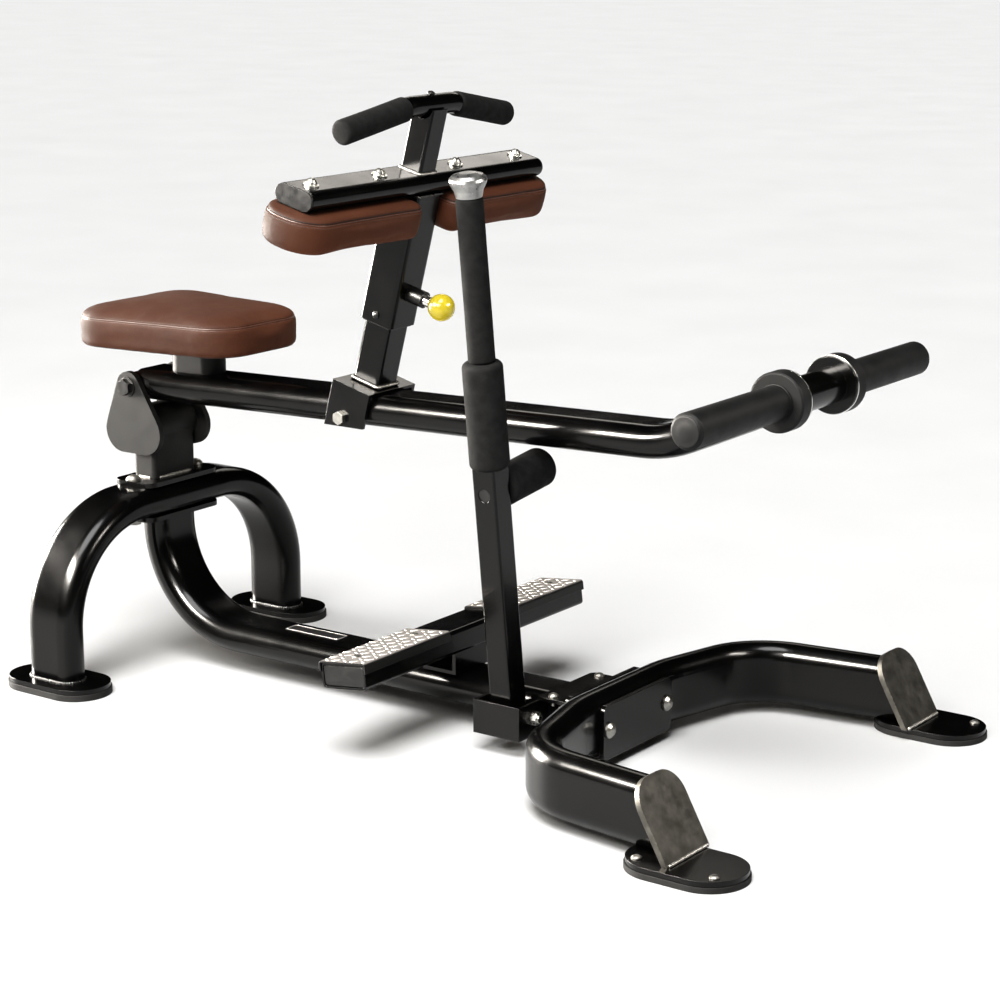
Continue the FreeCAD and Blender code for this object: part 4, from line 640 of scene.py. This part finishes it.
# ------------------------------------------------------------------ knee pads
for n, k in (("left", 1), ("right", -1)):
    mw = basis(ps(0, 0, 277), PX, YY, PZ)
    inner, outer = 0.034 * k, 0.314 * k
    lo_, hi_ = min(inner, outer), max(inner, outer)
    c = [(-0.056, lo_), (0.061, lo_), (0.061, hi_), (-0.056, hi_)]
    ri, ro = 0.020, 0.054
    rad = [ri, ri, ro, ro] if k > 0 else [ro, ro, ri, ri]
    ol = rounded_poly(c, rad, 12, 0.009)
    kp, kl = pad_mesh("knee_cushion_" + n, ol, [(-0.0010, 0.0160), (0.0004, 0.0090), (0.0036, 0.0052), (0.0090, 0.0034), (0.0190, 0.0024), (0.0360, 0.0020), (0.0470, 0.0028), (0.0520, 0.0056), (0.0550, 0.0105), (0.0568, 0.0200)], M["pad_vinyl"], matrix=mw, crown_low=0.0030, crown_top=0.0004)

    def knee_keep(co):
        return min(1.0, max(0.0, (0.0545 - co.z) / 0.010))

    inflate(kp, 0.0030, 0.0045, 4.0, knee_keep)
    pinch(kp, kl, 0.0470, 0.0018, 0.0042)
    sm = tube_along("knee_seam_" + n, hug(kp, kl, 0.0463, -0.0001), 0.0012, M["seam_vinyl"], seg=8, matrix=mw)
    sh = tube_along("knee_seam_shadow_" + n, hug(kp, kl, 0.0487, -0.0003), 0.0009, M["seam_dark"], seg=6, matrix=mw)
    th = stitches("knee_stitching_" + n, hug(kp, kl, 0.0430, 0.0001), 0.00045, 0.0034, 0.0011, M["thread"], mw)
    for o in (kp, sm, sh, th):
        go(o, "pad_carriage")
    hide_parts("knee_pad_" + n, "knee_boards")

# ------------------------------------------------------------------ foam grips
U = Vector((0.2806, 0, 0.9598))
HC = Vector((-0.0544, 0, 0.9498))
for n, k in (("left", 1), ("right", -1)):
    end = HC + YY * (0.196 * k) + U * (-0.0308)
    inn = HC + YY * (0.050 * k) + U * (-0.0037)
    d = (end - inn).normalized()
    a = end + d * 0.008 - d * 0.146
    g = lathe("hand_grip_" + n, a, d, foam_profile(0.146, 0.019, 0.0060, 0.0), M["grip_foam"], ripple=0.012, seed=k * 3.0)
    go(g, "pad_carriage")
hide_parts("hand_grips")
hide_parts("hand_grips")
fz = (sf(0, 0, 1) - sf(0, 0, 0)).normalized()
fy = (sf(0, 1, 0) - sf(0, 0, 0)).normalized()
o = go(lathe("safety_grip_foam", sf(0, 0, 550), fz, foam_profile(0.241, 0.020, 0.0050), M["grip_foam"], ripple=0.012, seed=8.0), "safety_lever")
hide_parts("safety_grip")
o = go(lathe("safety_bumper_foam", sf(0, 0, 390), fz, foam_profile(0.160, 0.030, 0.0080), M["grip_foam"], seg=72, ripple=0.010, seed=11.0), "safety_lever")
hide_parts("safety_bumper")
o = go(lathe("peg_foam_sleeve", sf(0, 20.3, 352), fy, foam_profile(0.1077, 0.030, 0.0080), M["grip_foam"], seg=72, ripple=0.010, seed=14.0), "safety_lever")
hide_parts("peg_foam")

# ------------------------------------------------------------------ weight sleeve end plugs and mould lines
for n, k in (("left", 1), ("right", -1)):
    ax = Vector((0, k, 0))
    prof = [(-0.004, 0.0), (-0.004, 0.0215), (0.0002, 0.0215), (0.0006, 0.0195), (0.0008, 0.0150), (0.0016, 0.0120), (0.0024, 0.0060), (0.0027, 0.0)]
    go(lathe("sleeve_end_" + n, (0.599, 0.325 * k, 0.584), ax, prof, M["horn_rubber"]), "lever")
    ring = [Vector((0.599 + 0.0252 * math.cos(a), 0.094 * k, 0.584 + 0.0252 * math.sin(a))) for a in [2 * math.pi * i / 72 for i in range(72)]]
    go(tube_along("sleeve_root_" + n, ring, 0.0012, M["horn_rubber"]), "lever")


# ------------------------------------------------------------------ tread lugs
T7 = math.radians(7)
FXV = Vector((math.cos(T7), 0, math.sin(T7)))
FZV = Vector((-math.sin(T7), 0, math.cos(T7)))
FO = Vector((-0.009, 0, 0.152))


def lug(vs, fs, cx, cy, ang, la, wb, h):
    base = len(vs)
    rows = ((1.0, 0.0), (0.93, 0.55), (0.70, 0.88), (0.35, 1.0))
    m = 14
    for s, z in rows:
        for i in range(m):
            a = 2 * math.pi * i / m
            u = la * math.copysign(abs(math.cos(a)) ** 1.15, math.cos(a)) * s
            v = wb * math.copysign(abs(math.sin(a)) ** 1.0, math.sin(a)) * s
            x = cx + u * math.cos(ang) - v * math.sin(ang)
            y = cy + u * math.sin(ang) + v * math.cos(ang)
            vs.append(FO + FXV * x + YY * y + FZV * (0.00305 + h * z))
    for r in range(3):
        for i in range(m):
            j = (i + 1) % m
            fs.append((base + r * m + i, base + r * m + j, base + (r + 1) * m + j, base + (r + 1) * m + i))
    fs.append(tuple(base + 3 * m + i for i in range(m)))


for n, k in (("left", 1), ("right", -1)):
    vs, fs = [], []
    yc = k * (0.286 - 0.1045)
    for i in range(-2, 3):
        for j in range(-6, 7):
            x, y = i * 0.0172, yc + j * 0.0158
            if any(abs(y - k * q) < 0.0125 and abs(x) < 0.012 for q in (0.110, 0.250)):
                continue
            lug(vs, fs, x, y, math.radians(38 if (i + j) % 2 else -38), 0.0078, 0.0027, 0.0011)
    go(mesh_obj("tread_lugs_" + n, vs, fs, M["tread_lug"]), "base")
# ------------------------------------------------------------------ welds
def weld(name, pts, r, body, bright=False, closed=True):
    go(tube_along(name, pts, r, M["weld_bright" if bright else "weld_painted"], closed=closed, lump=0.35, pitch=0.0042), body)


weld("weld_upper_post", rring(basis(ps(0, 0, 365.4), PX, YY, PZ), 0.0210, 0.0210, 0.004), 0.0028, "pad_carriage", True)
weld("weld_cross_tube", rring(basis(ps(0, 0, 334.8), PX, YY, PZ), 0.0330, 0.0330, 0.005), 0.0022, "pad_carriage")
weld("weld_column_base", rring(basis(Vector((-0.620, 0, 0.3076)), Vector((1, 0, 0)), YY, Vector((0, 0, 1))), 0.0245, 0.0505, 0.0235), 0.0030, "base", True)
for n, k in (("left", 1), ("right", -1)):
    weld("weld_rear_foot_" + n, rring(basis(Vector((-0.6145, 0.271 * k, 0.0184)), Vector((1, 0, 0)), YY, Vector((0, 0, 1))), 0.0505, 0.0255, 0.0245), 0.0026, "base")
    e = FO + YY * (k * 0.1815)
weld("weld_inner_post", rring(basis(ps(0, 0, 21.5), PX, YY, PZ), 0.0265, 0.0265, 0.004), 0.0030, "lever", True)
T29 = math.tan(math.radians(29))
for n, k in (("left", 1), ("right", -1)):
    row = [Vector((0.6286 - 0.0055 * T29 + 0.0012, (0.3422 + t * 0.0485) * k, 0.0178)) for t in [i / 20 - 1 for i in range(41)]]
    weld("weld_arm_cap_" + n, row, 0.0032, "base", True, closed=False)
# plugs that close the two ends of the footrest beam
for n, k in (("left", 1), ("right", -1)):
    yo, yi = 0.2832 * k, 0.2740 * k
    vs, fs = [], []
    loops = ((0.0366, 0.0146, yi), (0.0379, 0.0159, yi + 0.002 * k), (0.0379, 0.0159, yo - 0.0012 * k), (0.0368, 0.0148, yo), (0.0200, 0.0080, yo + 0.0003 * k))
    for hx, hz, y in loops:
        for p in rring(Matrix.Identity(4), hx, hz, min(hx, hz) * 0.3, 4):
            vs.append(FO + FXV * p.x + YY * y + FZV * (p.y - 0.019))
    m = len(vs) // len(loops)
    for i in range(len(loops) - 1):
        for q in range(m):
            q2 = (q + 1) % m
            fs.append((i * m + q, i * m + q2, (i + 1) * m + q2, (i + 1) * m + q))
    fs.append(tuple(range(m)))
    fs.append(tuple((len(loops) - 1) * m + q for q in range(m)))
    go(mesh_obj("beam_plug_" + n, vs, fs, M["barrel_black"], smooth=False), "base")

# ------------------------------------------------------------------ badge border
bl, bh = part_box("spine_plate")
cx_, cy_ = (bl.x + bh.x) / 2, (bl.y + bh.y) / 2
hx_, hy_ = (bh.x - bl.x) / 2, (bh.y - bl.y) / 2
go(tube_along("badge_border", rring(basis(Vector((cx_, cy_, bh.z)), Vector((1, 0, 0)), YY, Vector((0, 0, 1))), hx_ - 0.0022, hy_ - 0.0022, 0.004), 0.0010, M["trim_silver"], flat=0.6), "base")

# ------------------------------------------------------------------ stage
bm = bmesh.new()
bmesh.ops.create_grid(bm, x_segments=24, y_segments=24, size=45.0)
me = bpy.data.meshes.new("floor")
bm.to_mesh(me)
bm.free()
floor = link(bpy.data.objects.new("floor", me))
floor.location = (0, 0, -0.0002)
me.materials.append(finish_mat("floor", (0.84, 0.84, 0.835), (0.87, 0.87, 0.865), 2.0, (0.62, 0.75), 3.0, [("n", 40.0, 0.03, 0.001)], spec=0.25))

world = bpy.data.worlds.new("studio")
scene.world = world
world.use_nodes = True
world.node_tree.nodes["Background"].inputs["Color"].default_value = (1.0, 1.0, 1.0, 1)
world.node_tree.nodes["Background"].inputs["Strength"].default_value = 0.86
world.cycles_visibility.diffuse = False
world.cycles_visibility.glossy = False


def lamp(name, kind, energy, loc, aim, size=None, size_y=None, angle=None, color=(1, 1, 1)):
    d = bpy.data.lights.new(name, kind)
    d.energy = energy
    d.color = color
    if kind == "AREA":
        d.shape = "RECTANGLE"
        d.size = size
        d.size_y = size_y or size
    if angle:
        d.angle = math.radians(angle)
    o = link(bpy.data.objects.new(name, d))
    o.location = loc
    o.rotation_mode = "QUATERNION"
    o.rotation_quaternion = (Vector(aim) - Vector(loc)).to_track_quat("-Z", "Y")
    return o


lamp("sky", "SUN", 3.15, (0.5, -1.5, 4), (0, 0, 0), angle=36)
lamp("fill", "AREA", 34, (0.6, -3.0, 2.4), (0, 0, 0.3), size=2.0, size_y=1.2, color=(1.0, 0.98, 0.95))
# soft boxes that show as streaks in the gloss paint
for nm, e, loc, aim, sx, sy in (("box_front", 900, (-0.9, -2.7, 2.2), (-0.1, 0, 0.35), 2.6, 0.8), ("box_left", 700, (-3.3, -0.5, 0.9), (-0.4, 0, 0.3), 1.5, 1.5), ("box_right", 90, (2.6, 0.6, 1.9), (0, 0, 0.4), 1.6, 0.5), ("box_back", 7, (-1.7, 2.8, 2.2), (-0.1, 0, 0.8), 1.3, 0.8)):
    lb = lamp(nm, "AREA", e, loc, aim, size=sx, size_y=sy, color=(1.0, 0.95, 0.88))
    lb.visible_diffuse = False
for lo_b in [x for x in scene.objects if x.type == "LIGHT" and x.data.type == "AREA"]:
    lo_b.visible_camera = False

cam = bpy.data.cameras.new("camera")
cam.lens = 91.66
cam.sensor_width = 36
cam.clip_end = 200
co = link(bpy.data.objects.new("camera", cam))
co.location = (2.2701, -3.0574, 1.2700)
co.rotation_euler = (math.radians(76.356), 0, math.radians(35.704))
scene.camera = co
scene.view_settings.view_transform = "Standard"
scene.view_settings.look = "Medium High Contrast"
